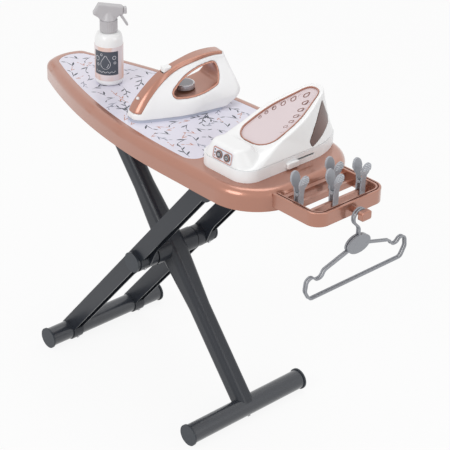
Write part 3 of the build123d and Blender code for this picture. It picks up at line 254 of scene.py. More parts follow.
MID_GREY = Finish("mid_grey_plastic", (0.655, 0.665, 0.69), 0.36, 0.06, 0.05, coat=0.4)
# Painted highlight: the peg ribs are the levers' own grey plastic, coloured lighter to stand for light on
# their tops.
RIB_HIGHLIGHT_GREY = Finish("peg_rib_painted_highlight", (0.84, 0.85, 0.87), 0.38)
HANGER_GREY = Finish("hanger_grey_plastic", (0.555, 0.565, 0.59), 0.34, 0.06, 0.05, coat=0.7)
DARK_BUTTON = Finish("button_moulding", (0.25, 0.27, 0.30), 0.30, coat=0.3)
SOLE_GREY = Finish("sole_moulding", (0.74, 0.76, 0.82), 0.35)
DIAL_GREY = Finish("dial_moulding", (0.60, 0.60, 0.62), 0.32, 0.08, 0.06, metallic=0.5)
DIAL_RIM = Finish("dial_rim", (0.92, 0.92, 0.93), 0.24, 0.06, 0.04, metallic=0.8)
SILVER_GREY = Finish("silver_grey_plastic", (0.745, 0.735, 0.745), 0.36, 0.05, 0.04, coat=0.2)
LABEL_SLATE = Finish("label_slate", (0.30, 0.32, 0.36), 0.35, tint=0.08)
LABEL_WHITE = Finish("label_white", (0.88, 0.88, 0.90), 0.40)


@dataclass(frozen=True)
class MarbledLabel:
    """Printed marble of the bottle's label: pale lilac with rose veins drawn out upwards.

    Attributes:
        name: Name of the material.
        ground: The pale colour, as a screen shows it.
        vein: The colour of the veins.
        scale: How close together the veins lie.
        stretch: How far they are drawn out upwards.
    """

    name: str = "marbled_label"
    ground: Colour = (0.91, 0.86, 0.87)
    vein: Colour = (0.90, 0.72, 0.63)
    scale: float = 34.0
    stretch: float = 0.30

    def material(self) -> bpy.types.Material:
        """Make the label's material.

        Returns:
            The material.
        """
        material = Finish(self.name, self.ground, 0.32, 0.04, coat=0.3).material()
        tree = material.node_tree
        place = add(tree, "ShaderNodeTexCoord", {}).outputs["Object"]
        drawn = add(tree, "ShaderNodeMapping", {"Vector": place, "Scale": (1.0, 1.0, self.stretch)})
        veins = add(tree, "ShaderNodeTexNoise", {
            "Vector": drawn.outputs["Vector"], "Scale": self.scale, "Detail": 1.5, "Distortion": 1.2})
        ramp = add(tree, "ShaderNodeValToRGB", {"Fac": veins.outputs["Fac"]})
        for stop, spot, colour in zip(ramp.color_ramp.elements, (0.36, 0.68), (self.ground, self.vein)):
            stop.position, stop.color = spot, linear(colour)
        fill(tree.nodes["Principled BSDF"], {"Base Color": ramp.outputs["Color"]})
        return material


Surface = Finish | MarbledLabel


# Helpers for modelling


@dataclass(frozen=True)
class Face:
    """A flat face of the toy that pieces are modelled on.

    Attributes:
        origin: A point on the face.
        right: The way that its x runs.
        up: The way that its y runs.
    """

    origin: Point
    right: Point = (1.0, 0.0, 0.0)
    up: Point = (0.0, 1.0, 0.0)

    def at(self, x: float = 0.0, y: float = 0.0, lift: float = 0.0, turn_deg: float = 0.0) -> Matrix:
        """Find the place of a point on the face.

        Args:
            x: How far along the face.
            y: How far up the face.
            lift: How far off the face.
            turn_deg: How far the piece is turned on it.

        Returns:
            The matrix that takes a piece modelled at the origin there.
        """
        right, up = Vector(self.right).normalized(), Vector(self.up).normalized()
        turn = Matrix((right, up, right.cross(up))).transposed().to_4x4()
        move = Matrix.Translation(self.origin) @ turn @ Matrix.Translation((x, y, lift))
        return move @ Matrix.Rotation(math.radians(turn_deg), 4, "Z")


def settle(piece: Piece, place: Matrix = Matrix.Identity(4)) -> None:
    """Put a piece's own place, and one more, into its mesh.

    Args:
        piece: The piece.
        place: Where it goes from there.
    """
    piece.data.transform(place @ piece.matrix_basis)
    piece.matrix_basis = Matrix.Identity(4)
    piece.data.update()


def pick(piece: Piece, test: Callable[[Vector], bool]) -> None:
    """Go into edit mode with some of a piece's points selected, and what lies between them.

    Args:
        piece: The piece.
        test: What a point has to pass.
    """
    take(piece)
    bpy.ops.object.mode_set(mode="EDIT")
    bpy.ops.mesh.select_mode(type="VERT")
    bpy.ops.mesh.select_all(action="DESELECT")
    mesh = bmesh.from_edit_mesh(piece.data)
    for point in mesh.verts:
        if test(point.co):
            point.select_set(True)
    mesh.select_flush_mode()
    bmesh.update_edit_mesh(piece.data)


def leave() -> None:
    """Go back to object mode."""
    bpy.ops.object.mode_set(mode="OBJECT")


def modify(piece: Piece, kind: str, **values: float | bool | str) -> None:
    """Add a modifier to a piece and apply it.

    Args:
        piece: The piece.
        kind: Blender's name of the modifier's kind.
        values: What it is set to.
    """
    take(piece)
    modifier = piece.modifiers.new(kind.lower(), kind)
    for key, value in values.items():
        setattr(modifier, key, value)
    bpy.ops.object.modifier_apply(modifier=modifier.name)


def linked(name: str, data: bpy.types.ID) -> Piece:
    """Make an object and put it in the scene.

    Args:
        name: Its name.
        data: Its mesh, curve, lamp or camera.

    Returns:
        The object.
    """
    piece = bpy.data.objects.new(name, data)
    bpy.context.scene.collection.objects.link(piece)
    return piece


def another(piece: Piece, place: Matrix) -> Piece:
    """Copy a piece with its own mesh.

    Args:
        piece: The piece to copy.
        place: Where the copy goes from there.

    Returns:
        The copy.
    """
    copy = linked(piece.name, piece.data.copy())
    copy.data.transform(place)
    return copy


def joined(parts: list[Piece]) -> Piece:
    """Join pieces into one.

    Args:
        parts: The pieces.

    Returns:
        The joined piece.
    """
    take(parts[0])
    for part in parts:
        part.select_set(True)
    bpy.ops.object.join()
    return parts[0]


def fit(piece: Piece, name: str, body: str, finish: Surface,
        place: Matrix = Matrix.Identity(4), smooth_deg: float = 30.0) -> None:
    """Name a finished piece, give it its finish and seat it on a body.

    Args:
        piece: The piece.
        name: Its name.
        body: The body that carries it.
        finish: Its finish.
        place: Where it goes from where it was modelled.
        smooth_deg: Edges that turn by less than this look smooth.
    """
    settle(piece, place)
    piece.name = name
    piece.data.materials.clear()
    piece.data.materials.append(finish.material())
    take(piece)
    bpy.ops.object.shade_smooth_by_angle(angle=math.radians(smooth_deg))
    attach(piece, body)
    log.info("added %s on %s", name, body)


def disc(width: float, height: float, points: int = 24) -> Piece:
    """Add a flat oval at the origin.

    Args:
        width: Its size along x.
        height: Its size along y.
        points: How many points go round it.

    Returns:
        The oval.
    """
    deselect()
    bpy.ops.mesh.primitive_circle_add(vertices=points, radius=0.5, fill_type="NGON")
    piece = bpy.context.object
    piece.scale = (width, height, 1.0)
    settle(piece)
    return piece


def plate(width: float, height: float, corner: float) -> Piece:
    """Add a flat plate with round corners at the origin.

    Args:
        width: Its size along x.
        height: Its size along y.
        corner: Radius of its corners.

    Returns:
        The plate.
    """
    deselect()
    bpy.ops.mesh.primitive_plane_add(size=1.0)
    piece = bpy.context.object
    piece.scale = (width, height, 1.0)
    settle(piece)
    pick(piece, lambda place: True)
    bpy.ops.mesh.bevel(offset=corner, segments=6, affect="VERTICES")
    leave()
    return piece


def ridge(size: Point, taper: tuple[float, float]) -> Piece:
    """Model a small block at the origin that narrows outwards, along x.

    Args:
        size: How far it reaches each way.
        taper: Width and height of its outer side, as shares of the inner side's.

    Returns:
        The block.
    """
    deselect()
    bpy.ops.mesh.primitive_cube_add(size=1.0)
    piece = bpy.context.object
    piece.scale = size
    settle(piece)
    pick(piece, lambda place: place.x > 0)
    bpy.ops.transform.resize(value=(1.0, *taper))
    leave()
    return piece


def hoop(radius: float, wire: float, flat: float, points: int) -> Piece:
    """Model a flattened ring at the origin.

    Args:
        radius: From its middle to the middle of its wire.
        wire: Radius of the wire.
        flat: Height of the wire, as a share of its width.
        points: How many points go round it.

    Returns:
        The ring.
    """
    deselect()
    bpy.ops.mesh.primitive_torus_add(
        major_segments=points, minor_segments=10, major_radius=radius, minor_radius=wire
    )
    piece = bpy.context.object
    piece.scale = (1.0, 1.0, flat)
    settle(piece)
    return piece


def hollow(piece: Piece, width: float) -> None:
    """Leave only a band along the edge of a flat piece.

    Args:
        piece: The flat piece.
        width: Width of the band.
    """
    pick(piece, lambda place: True)
    bpy.ops.mesh.select_mode(type="FACE")
    bpy.ops.mesh.inset(thickness=width)
    bpy.ops.mesh.delete(type="FACE")
    leave()


def stroke(points: list[Vector], width: float, closed: bool = False) -> Piece:
    """Draw a round line through points and make it a mesh.

    Args:
        points: The points.
        width: Width of the line.
        closed: Whether its end joins its start.

    Returns:
        The line's piece.
    """
    curve = bpy.data.curves.new("stroke", "CURVE")
    curve.dimensions = "3D"
    curve.bevel_depth = width / 2
    curve.bevel_resolution = 2
    curve.use_fill_caps = True
    spline = curve.splines.new("NURBS")
    spline.points.add(len(points) - 1)
    for point, place in zip(spline.points, points):
        point.co = (*place, 1.0)
    spline.order_u = 3
    spline.use_endpoint_u = not closed
    spline.use_cyclic_u = closed
    spline.resolution_u = 6
    take(linked("stroke", curve))
    bpy.ops.object.convert(target="MESH")
    return bpy.context.object


def ring_points(radius: float, start_deg: float, end_deg: float, count: int) -> list[Vector]:
    """List points on an arc round the origin.

    Args:
        radius: Radius of the arc.
        start_deg: Where it starts.
        end_deg: Where it ends.
        count: How many steps it has.

    Returns:
        The points, one more than the steps.
    """
    step = math.radians(end_deg - start_deg) / count
    start = math.radians(start_deg)
    return [
        Vector((radius * math.cos(start + step * k), radius * math.sin(start + step * k), 0.0))
        for k in range(count + 1)
    ]


def deselect() -> None:
    """Deselect every object."""
    for piece in bpy.context.selected_objects:
        piece.select_set(False)


def take(piece: Piece) -> None:
    """Make a piece the only selected one, and the active one.

    Args:
        piece: The piece.
    """
    deselect()
    piece.select_set(True)
    bpy.context.view_layer.objects.active = piece


# The studio


@dataclass
class Studio:
    """Camera, floor, lamps and background.

    Attributes:
        eye: Where the camera stands.
        target: The point in the middle of its picture.
        roll_deg: How far it is turned about its own line of sight.
        focal_px: Its focal length in pixels of the photograph.
        frame_px: The photograph's width and height in pixels.
    """

    eye: Point = (1.774, -1.526, 1.588)
    target: Point = (0.1517, -0.0215, 0.3546)
    roll_deg: float = 1.4
    focal_px: float = 1620.8
    frame_px: float = 450.0

    def camera(self) -> None:
        """Add the camera where the photograph was taken from."""
        data = bpy.data.cameras.new("photo_camera")
        data.sensor_width = 36.0
        data.lens = data.sensor_width * self.focal_px / self.frame_px
        camera = linked("photo_camera", data)
        ahead = Vector(self.target) - Vector(self.eye)
        turn = ahead.to_track_quat("-Z", "Y").to_matrix().to_4x4()
        roll = Matrix.Rotation(math.radians(self.roll_deg), 4, "Z")
        camera.matrix_world = Matrix.Translation(self.eye) @ turn @ roll
        data.clip_start, data.clip_end = 0.05, 50.0
        bpy.context.scene.camera = camera

    def floor(self) -> None:
        """Add the pale floor. It keeps the toy's soft shadow."""
        deselect()
        bpy.ops.mesh.primitive_plane_add(size=30.0, location=(0.0, 0.0, 0.0))
        floor = bpy.context.object
        floor.name = "floor"
        material = bpy.data.materials.new("pale_floor")
        material.use_nodes = True
        tree = material.node_tree
        shader = tree.nodes["Principled BSDF"]
        fill(shader, {"Base Color": (0.86, 0.86, 0.86, 1.0), "Roughness": 0.9, "Specular IOR Level": 0.1})
        glow = add(tree, "ShaderNodeEmission", {})
        share = add(tree, "ShaderNodeMath", {0: self._seen(tree), 1: 0.90}, "MULTIPLY")
        mix = add(tree, "ShaderNodeMixShader", {
            "Fac": share.outputs[0], 1: shader.outputs["BSDF"], 2: glow.outputs["Emission"]})
        fill(tree.nodes["Material Output"], {"Surface": mix.outputs["Shader"]})
        floor.data.materials.append(material)

    def _seen(self, tree: bpy.types.NodeTree) -> bpy.types.NodeSocket:
        """Join the ray kinds that should meet the pale background.

        Args:
            tree: The node tree that this is for.

        Returns:
            A socket that is 1 for camera, glossy and transmission rays.
        """
        rays = add(tree, "ShaderNodeLightPath", {}).outputs
        seen = rays["Is Camera Ray"]
        for other in ("Is Glossy Ray", "Is Transmission Ray"):
            seen = add(tree, "ShaderNodeMath", {0: seen, 1: rays[other]}, "MAXIMUM").outputs[0]
        return seen

    def world(self) -> None:
        """Light the room softly from all round, and show white behind the toy."""
        world = bpy.data.worlds.new("studio")
        bpy.context.scene.world = world
        world.use_nodes = True
        tree = world.node_tree
        white = (1.0, 1.0, 1.0, 1.0)
        light = tree.nodes["Background"]
        fill(light, {"Color": white, "Strength": 0.62})
        back = add(tree, "ShaderNodeBackground", {"Color": white, "Strength": 1.0})
        mix = add(tree, "ShaderNodeMixShader", {
            "Fac": self._seen(tree), 1: light.outputs["Background"], 2: back.outputs["Background"]})
        fill(tree.nodes["World Output"], {"Surface": mix.outputs["Shader"]})

    def lamp(self, name: str, place: Point, size: float, watts: float) -> None:
        """Add a soft square lamp that looks at the toy.

        Args:
            name: Name of the lamp.
            place: Where it hangs.
            size: Length of its sides.
            watts: Its power.
        """
        data = bpy.data.lights.new(name, "AREA")
        data.shape = "SQUARE"
        data.size = size
        data.energy = watts
        lamp = linked(name, data)
        ahead = Vector(self.target) - Vector(place)
        lamp.matrix_world = Matrix.Translation(place) @ ahead.to_track_quat("-Z", "Y").to_matrix().to_4x4()

    def build(self) -> None:
        """Set up the whole studio."""
        bpy.context.scene.view_settings.view_transform = "Standard"
        self.camera()
        self.floor()
        self.world()
        self.lamp("key", (0.3, -2.7, 2.1), 1.6, 28.0)
        self.lamp("fill", (2.8, 0.6, 1.6), 1.6, 11.0)
        self.lamp("top", (-0.4, 0.6, 3.2), 1.6, 14.0)
        log.info("studio ready")


# The sub-assemblies


@dataclass
class Assembly:
    """A sub-assembly, whose CAD nodes are dressed, or replaced by copies with softer edges.

    Attributes:
        nodes: The frame's nodes by name.
    """

    nodes: dict[str, Piece]

    def dress(self, finish: Surface, *names: str) -> None:
        """Give CAD nodes their finish.

        Args:
            finish: The finish that they get.
            names: The nodes to dress.
        """
        for name in names:
            materials = self.nodes[name].data.materials
            materials.clear()
            materials.append(finish.material())
            log.info("dressed %s in %s", name, finish.name)

    def stand_in(self, name: str) -> Piece:
        """Copy a CAD node's mesh, with its loose triangles merged, into a piece that replaces it.

        Args:
            name: The node to copy.

        Returns:
            The new piece, in the node's place.
        """
        piece = linked(name, self.nodes[name].data.copy())
        pick(piece, lambda place: True)
        bpy.ops.mesh.remove_doubles(threshold=0.00001)
        leave()
        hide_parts(name)
        return piece

    def soften(self, name: str, body: str, finish: Finish, voxel: float, rounds: int,
               foot: float = 0.0, thin: float = 0.0) -> None:
        """Replace a CAD node by a copy with the soft edges of a moulding.

        Args:
            name: The node.
            body: The body that carries it.
            finish: Its finish.
            voxel: Grain of the mesh that the copy is softened on.
            rounds: How often it is smoothed.
            foot: How much its hidden foot is cut short, to clear the bottom of its well.
            thin: How much it is drawn in all over, to clear its neighbours as it moves.
        """
        piece = self.stand_in(name)
        if foot:
            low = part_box(name)[0][2]
            pick(piece, lambda place: place.z < low + foot)
            bpy.ops.transform.translate(value=(0.0, 0.0, foot))
            leave()
        modify(piece, "REMESH", mode="VOXEL", voxel_size=voxel)
        modify(piece, "SMOOTH", factor=0.5, iterations=rounds)
        if thin:
            modify(piece, "DISPLACE", strength=-thin, mid_level=0.0)
        fit(piece, f"soft_{name}", body, finish, smooth_deg=80.0)


@dataclass
class Board(Assembly):
    """The board with its printed panel and its brackets.

    Attributes:
        panel_top: Height of the panel's face.
        nose: Where the panel's outline meets the middle line at the nose.
        shoulder: Where its nose ends and its long side starts.
        widest: Where along the board the outline is widest.
        half: Half its width there.
        bow: Radius of its long sides.
        rear: Where it ends before the station.
        corner: Radius of its corners there.
        nose_half: Half the width that is printed at its nose.
        margin: Bare strip along its edge.
        ink: How far the print stands off the panel.
        stem_width: Width of a printed stem at its middle.
    """

    panel_top: float = 0.4943
    nose: float = -0.276
    shoulder: float = -0.264
    widest: float = 0.110
    half: float = 0.100
    bow: float = 0.989
    rear: float = 0.160
    corner: float = 0.022
    nose_half: float = 0.018
    margin: float = 0.0025
    ink: float = 0.00003
    stem_width: float = 0.0014

    def on_panel(self, x: float, y: float) -> bool:
        """Tell whether a point of the print lies on the panel.

        Args:
            x: Place along the board.
            y: Place across it.

        Returns:
            True where the panel is below it.
        """
        if not self.nose + self.margin < x < self.rear - self.margin:
            return False
        if x < self.shoulder:
            return abs(y) < self.nose_half
        edge = self.half - self.bow + math.sqrt(self.bow**2 - max(0.0, self.widest - x) ** 2)
        past = max(0.0, x - self.rear + self.corner)
        return abs(y) < edge - self.margin - (self.corner - math.sqrt(self.corner**2 - past**2))

    def leaf(self, length: float, width: float) -> Piece:
        """Model one pointed leaf, with its stalk at the origin and its tip along x.

        Args:
            length: From stalk to tip.
            width: Across its middle.

        Returns:
            The leaf.
        """
        piece = disc(length * 0.8, width, 10)
        pick(piece, lambda place: abs(place.x) > length * 0.38)
        bpy.ops.transform.resize(value=(1.25, 0.3, 1.0))
        leave()
        modify(piece, "SOLIDIFY", thickness=self.ink, offset=1.0)
        settle(piece, Matrix.Translation((length / 2, 0.0, 0.0)))
        return piece

    def sprig(self, stem: float, pairs: int, length: float, width: float,
              spread_deg: float, bend_deg: float) -> Piece:
        """Model one sprig: leaves by turns along a bent stem.

        Args:
            stem: Length of the stem.
            pairs: How many leaves stand on each side.
            length: Length of the lowest leaf.
            width: Width of the lowest leaf.
            spread_deg: How far the leaves lean off the stem.
            bend_deg: How far the stem is bent over its length.

        Returns:
            The sprig, with its foot at the origin.
        """
        parts = [self.leaf(stem, self.stem_width)]
        pick(parts[0], lambda place: True)
        bpy.ops.mesh.subdivide(number_cuts=2)
        leave()
        leaf = self.leaf(length, width)
        for place in range(pairs * 2):
            share = 0.22 + 0.74 * place / (pairs * 2 - 1)
            side = 1 if place % 2 else -1
            size = 1.0 - 0.35 * share
            spot = Matrix.Translation((stem * share, 0.0, 0.0))
            turn = Matrix.Rotation(math.radians(side * spread_deg * (1.1 - 0.5 * share)), 4, "Z")
            parts.append(another(leaf, spot @ turn @ Matrix.Scale(size, 4)))
        bpy.data.objects.remove(leaf)
        piece = joined(parts)
        radius = stem / math.radians(bend_deg)
        for point in piece.data.vertices:
            way = point.co.x / radius
            out = radius - point.co.y
            point.co.x, point.co.y = out * math.sin(way), radius - out * math.cos(way)
        return piece

    def branch(self, stem: Piece) -> Piece:
        """Grow two smaller twigs out of a sprig.

        Args:
            stem: The sprig.

        Returns:
            The branched sprig.
        """
        parts = [stem]
        bend = 0.046 / math.radians(35.0)
        for along, turn_deg in ((0.012, 36.0), (0.022, -38.0)):
            twig = self.sprig(0.028, 2, 0.0120, 0.0030, 42.0, turn_deg)
            rise = along**2 / (2 * bend)
            turn = Matrix.Rotation(math.radians(turn_deg), 4, "Z")
            settle(twig, Matrix.Translation((along, rise, 0.0)) @ turn)
            parts.append(twig)
        return joined(parts)

    def print_layer(self, name: str, kinds: list[Piece], taken: list[Point],
                    count: int, room: float, finish: Finish, seed: int) -> None:
        """Scatter sprigs of one colour over the panel, clear of each other and of its edge.

        Args:
            name: Name of the printed layer.
            kinds: The sprigs to scatter.
            taken: Circles that are already printed on, which this adds to.
            count: How many are tried.
            room: Radius of the circle that each needs, as a share of its length.
            finish: The ink.
            seed: Starts the scatter, so that it is the same each time.
        """
        dice = random.Random(seed)
        parts: list[Piece] = []
        outlines = [[point.co.to_2d() for point in kind.data.vertices] for kind in kinds]
        for number in range(count):
            kind = number % len(kinds)
            reach = max(point.length for point in outlines[kind])
            x, y = dice.uniform(self.nose, self.rear), dice.uniform(-self.half, self.half)
            turn, size = dice.uniform(0.0, 2 * math.pi), dice.uniform(0.85, 1.1)
            place = Matrix.Translation((x, y, self.panel_top)) @ Matrix.Rotation(turn, 4, "Z")
            place = place @ Matrix.Diagonal((size, size, 1.0, 1.0))
            middle = place @ Vector((reach * 0.5, 0.0, 0.0))
            if any(math.hypot(middle.x - a, middle.y - b) < room * reach + c for a, b, c in taken):
                continue
            spots = [place @ point.to_3d() for point in outlines[kind]]
            if not all(self.on_panel(spot.x, spot.y) for spot in spots):
                continue
            taken.append((middle.x, middle.y, room * reach))
            parts.append(another(kinds[kind], place))
        log.info("%s has %d sprigs", name, len(parts))
        fit(joined(parts), name, "board", finish)

    def printed_panel(self) -> None:
        """Print the panel with loose sprigs in slate, grey and rose."""
        slate = [
            self.branch(self.sprig(0.050, 3, 0.0135, 0.0032, 44.0, 35.0)),
            self.sprig(0.036, 2, 0.0145, 0.0034, 42.0, -30.0),
            self.sprig(0.022, 1, 0.0140, 0.0034, 42.0, 20.0),
        ]
        grey = [
            self.sprig(0.040, 2, 0.0145, 0.0026, 32.0, -45.0),
            self.sprig(0.026, 2, 0.0115, 0.0025, 34.0, 30.0),
        ]
        rose = [
            self.sprig(0.024, 2, 0.0105, 0.0024, 42.0, 35.0),
            self.sprig(0.016, 1, 0.0095, 0.0024, 44.0, -20.0),
        ]
        taken: list[Point] = []
        self.print_layer("print_slate_sprigs", slate, taken, 1600, 0.40, SLATE_INK, 11)
        self.print_layer("print_grey_sprigs", grey, taken, 2400, 0.30, GREY_INK, 5)
        self.print_layer("print_rose_sprigs", rose, taken, 2400, 0.30, ROSE_INK, 8)
        for kind in slate + grey + rose:
            bpy.data.objects.remove(kind)

    def build(self) -> None:
        """Dress the board's CAD nodes and print its panel."""
        self.printed_panel()
        self.dress(ROSE_GOLD, "board_shell")
        self.dress(PALE_PANEL, "print_panel")
        self.dress(SLATE_PLASTIC, "hinge_bracket", "latch_bracket")
        self.dress(SLATE_TUBE, "hinge_bar")
        self.dress(STEEL, "bracket_screws", "rack_screws", "station_screws")


@dataclass
class Legs(Assembly):
    """The two crossed legs with their foot bars."""

    def build(self) -> None:
        """Dress the legs' CAD nodes."""
        self.dress(SLATE_PLASTIC, "outer_leg_front", "outer_leg_back", "inner_leg_post")
        self.dress(SLATE_TUBE, "outer_foot_tube", "inner_foot_tube", "pivot_tube", "top_bar")
        self.dress(DARK_CAP, "outer_foot_caps", "inner_foot_caps", "pivot_caps")
        self.dress(STEEL, "beam_screws", "foot_screw")


@dataclass
class PegRack(Assembly):
    """The rack with its four pegs and two hangers.

    Attributes:
        pegs: Place of each peg along and across the board.
        top: Height of the levers' tops.
        paddle: Width and height of a lever's paddle.
        pad: Height of the ribbed pad on it.
        pad_high: How far out the pad stands at its top.
        pad_low: How far out it stands at its foot.
        pitch: From one rib to the next.
        rib: Height of a rib, and how far it stands out.
        rib_share: Length of a rib, as a share of the paddle's width there.
    """

    pegs: tuple[tuple[float, float], ...] = (
        (0.336, -0.04896), (0.336, 0.0216), (0.364, -0.00576), (0.364, 0.0504),
    )
    top: float = 0.528
    paddle: tuple[float, float] = (0.0185, 0.025)
    pad: float = 0.015
    pad_high: float = 0.0129
    pad_low: float = 0.01047
    pitch: float = 0.0031
    rib: tuple[float, float] = (0.0014, 0.0007)
    rib_share: float = 0.86

    def ribs(self) -> Piece:
        """Model the ribs of one paddle, upright and facing x, with the pad's top at the origin.

        Returns:
            The ribs.
        """
        width, height = self.paddle
        tall, out = self.rib
        parts = []
        down = self.pitch
        while down < self.pad - tall:
            rise = (height / 2 - down) / (height / 2)
            half = width / 2 * math.sqrt(1.0 - rise**2) * self.rib_share
            rib = ridge((out * 2, half * 2, tall), (0.92, 0.35))
            settle(rib, Matrix.Translation((0.0, 0.0, -down)))
            parts.append(rib)
            down += self.pitch
        return joined(parts)

    def paddles(self) -> None:
        """Put ribs on both levers of each peg, coloured lighter than the levers as a painted highlight on
        their tops.
        """
        ribs = self.ribs()
        lean = math.atan2(self.pad_high - self.pad_low, self.pad)
        lay = Matrix.Rotation(lean, 4, "Y")
        for number, (x, y) in enumerate(self.pegs, start=1):
            for way, part, body in ((-1, "back", f"peg_{number}"), (1, "front", f"peg_{number}_front")):
                turn = Matrix.Rotation(0.0 if way > 0 else math.pi, 4, "Z")
                spot = Matrix.Translation((x + way * self.pad_high, y, self.top))
                # The ribs are lighter than the levers, as a painted highlight on their tops.
                fit(another(ribs, spot @ turn @ lay), f"peg_{number}_{part}_ribs", body, RIB_HIGHLIGHT_GREY)
        bpy.data.objects.remove(ribs)

    def build(self) -> None:
        """Dress the rack, the pegs and the hangers."""
        self.paddles()
        self.dress(ROSE_GOLD, "peg_rack")
        for peg in ("peg_1", "peg_2", "peg_3", "peg_4"):
            for part, body in (("back", peg), ("front", f"{peg}_front")):
                self.soften(f"{peg}_{part}_jaw", body, MID_GREY, voxel=0.0005, rounds=7, thin=0.0002)
            self.dress(STEEL, f"{peg}_spring")
        self.dress(HANGER_GREY, "hanger_1", "hanger_2")


@dataclass
class Station(Assembly):
    """The steam station.

    Attributes:
        front: The tilted face of the hood.
        rest: The face of the sole rest, its origin at the low edge.
        panel: Middle of the control panel on the hood's face.
        panel_size: Its width and height.
        panel_lift: How far it stands off the hood.
        panel_corner: Radius of its outline's corners.
        panel_band: Width of that outline.
        light: Width and height of its small lights.
        light_inset: From the panel's edge to their middles.
        light_pitch: From one light to the next.
        buttons: Places of the two buttons along the hood's face.
        button_lift: How far their tops stand off it.
        rim_radius: From a button's middle to the middle of its rim's wire.
        rim_wire: Radius of that wire.
        icon_line: Width of the icons' lines.
        line: Thickness of printed lines.
        rest_half: Half the sole rest's width.
        rest_length: Its length up the slope, inside its edge.
        drop_size: Length and width of the smallest drop ring of painted shade.
        drop_line: Width of its outline, and how much that grows from each drop to the next.
        drops: Places of the drops, as shares of that half width and length.
        trim_rise: How far the rest's trim is raised.
        rib_pitch: From one fine rib of the lock's tab to the next.
        rib_size: How far a rib stands out, how wide it is and how tall.
        rib_count: How many ribs it has.
    """

    front: Face = Face((0.217, -0.094, 0.5135), up=(0.0, 0.17789, 0.98405))
    rest: Face = Face((0.217, -0.038, 0.528), up=(0.0, 137.0, 48.3))
    panel: tuple[float, float] = (0.002, 0.011178)
    panel_size: tuple[float, float] = (0.042, 0.020)
    panel_lift: float = 0.0004
    panel_corner: float = 0.0034
    panel_band: float = 0.0016
    light: tuple[float, float] = (0.0024, 0.0004)
    light_inset: float = 0.0048
    light_pitch: float = 0.0046
    buttons: tuple[float, float] = (-0.00425, 0.01225)
    button_lift: float = 0.0023
    rim_radius: float = 0.00558
    rim_wire: float = 0.00058
    icon_line: float = 0.0008
    line: float = 0.00006
    rest_half: float = 0.035
    rest_length: float = 0.14367
    drop_size: tuple[float, float] = (0.0068, 0.0050)
    drop_line: tuple[float, float] = (0.0009, 0.0002)
    drops: tuple[tuple[tuple[float, float], ...], ...] = (
        ((-0.80, 0.355), (-0.77, 0.445), (-0.68, 0.54), (-0.55, 0.645), (-0.37, 0.755)),
        ((0.64, 0.385), (0.62, 0.475), (0.55, 0.565), (0.43, 0.665), (0.26, 0.775), (-0.05, 0.875)),
    )
    trim_rise: float = 0.0021
    rib_pitch: float = 0.0016
    rib_size: Point = (0.0007, 0.0007, 0.0064)
    rib_count: int = 9

    def control_panel(self) -> None:
        """Print the panel's outline and its three small lights."""
        width, height = (side - self.panel_band for side in self.panel_size)
        outline = plate(width, height, self.panel_corner)
        hollow(outline, self.panel_band)
        modify(outline, "SOLIDIFY", thickness=self.line, offset=1.0)
        x, y = self.panel
        fit(outline, "panel_outline", "board", ROSE_INK, self.front.at(x, y, self.panel_lift))
        x += self.light_inset - self.panel_size[0] / 2
        wide, tall = self.light
        for number in range(3):
            light = disc(wide, wide)
            modify(light, "SOLIDIFY", thickness=tall, offset=1.0)
            place = self.front.at(x, y + self.light_pitch * (number - 1), self.panel_lift)
            fit(light, f"panel_light_{number + 1}", "board", SLATE_INK if number else ROSE_INK, place)

    def button_marks(self) -> None:
        """Give the buttons their rose rims and white icons: steam on one, power on the other."""
        y = self.panel[1]
        for x, body in zip(self.buttons, ("steam_button", "power_button")):
            rim = hoop(self.rim_radius, self.rim_wire, 0.7, 48)
            fit(rim, f"{body}_rim", body, ROSE_GOLD, self.front.at(x, y, self.button_lift - 0.0002), 60.0)
        waves = [
            [Vector((x + 0.0004 * (-1) ** k, -0.0022 + 0.0011 * k, 0.0)) for k in range(5)]
            for x in (-0.0017, 0.0, 0.0017)
        ]
        steam = joined([stroke(wave, self.icon_line) for wave in waves])
        power = joined([
            stroke(ring_points(0.0024, 125.0, 415.0, 18), self.icon_line),
            stroke([Vector((0.0, up, 0.0)) for up in (0.0004, 0.0018, 0.0032)], self.icon_line),
        ])
        for x, name, icon in zip(self.buttons, ("steam", "power"), (steam, power)):
            place = self.front.at(x, y, self.button_lift + 0.00002)
            fit(icon, f"{name}_icon", f"{name}_button", LABEL_WHITE, place, 60.0)

    def dimple_shade_rings(self) -> None:
        """Lay a dark brown ring round each dimple of the sole rest, as painted shade in the dimple's
        groove.
        """
        parts = []
        for row in self.drops:
            for place, (across, along) in enumerate(row):
                growth = 1.0 + 0.9 * place / len(row)
                length, width = (size * growth for size in self.drop_size)
                drop = disc(length, width, 28)
                tip = length * 0.42
                pick(drop, lambda spot: spot.x > tip)
                bpy.ops.transform.translate(value=(length * 0.16, 0.0, 0.0))
                leave()
                hollow(drop, self.drop_line[0] + self.drop_line[1] * place)
                modify(drop, "SOLIDIFY", thickness=self.line, offset=1.0)
                x, y = self.rest_half * across, self.rest_length * along
                settle(drop, self.rest.at(x, y, 0.0, 90.0 - 40.0 * across))
                parts.append(drop)
        # These brown rings are painted shade of the dimples' grooves.
        fit(joined(parts), "rest_drops", "board", DIMPLE_SHADE_BROWN)

    def trim(self) -> None:
        """Raise the rest's rose trim nearly to the top of the white edge round it."""
        piece = self.stand_in("rest_trim")
        normal = Vector(self.rest.right).cross(Vector(self.rest.up)).normalized()
        low = Vector(self.rest.origin)
        pick(piece, lambda place: (place - low).dot(normal) > 0.0002)
        bpy.ops.transform.translate(value=tuple(normal * self.trim_rise))
        leave()
        fit(piece, "raised_rest_trim", "board", ROSE_GOLD)

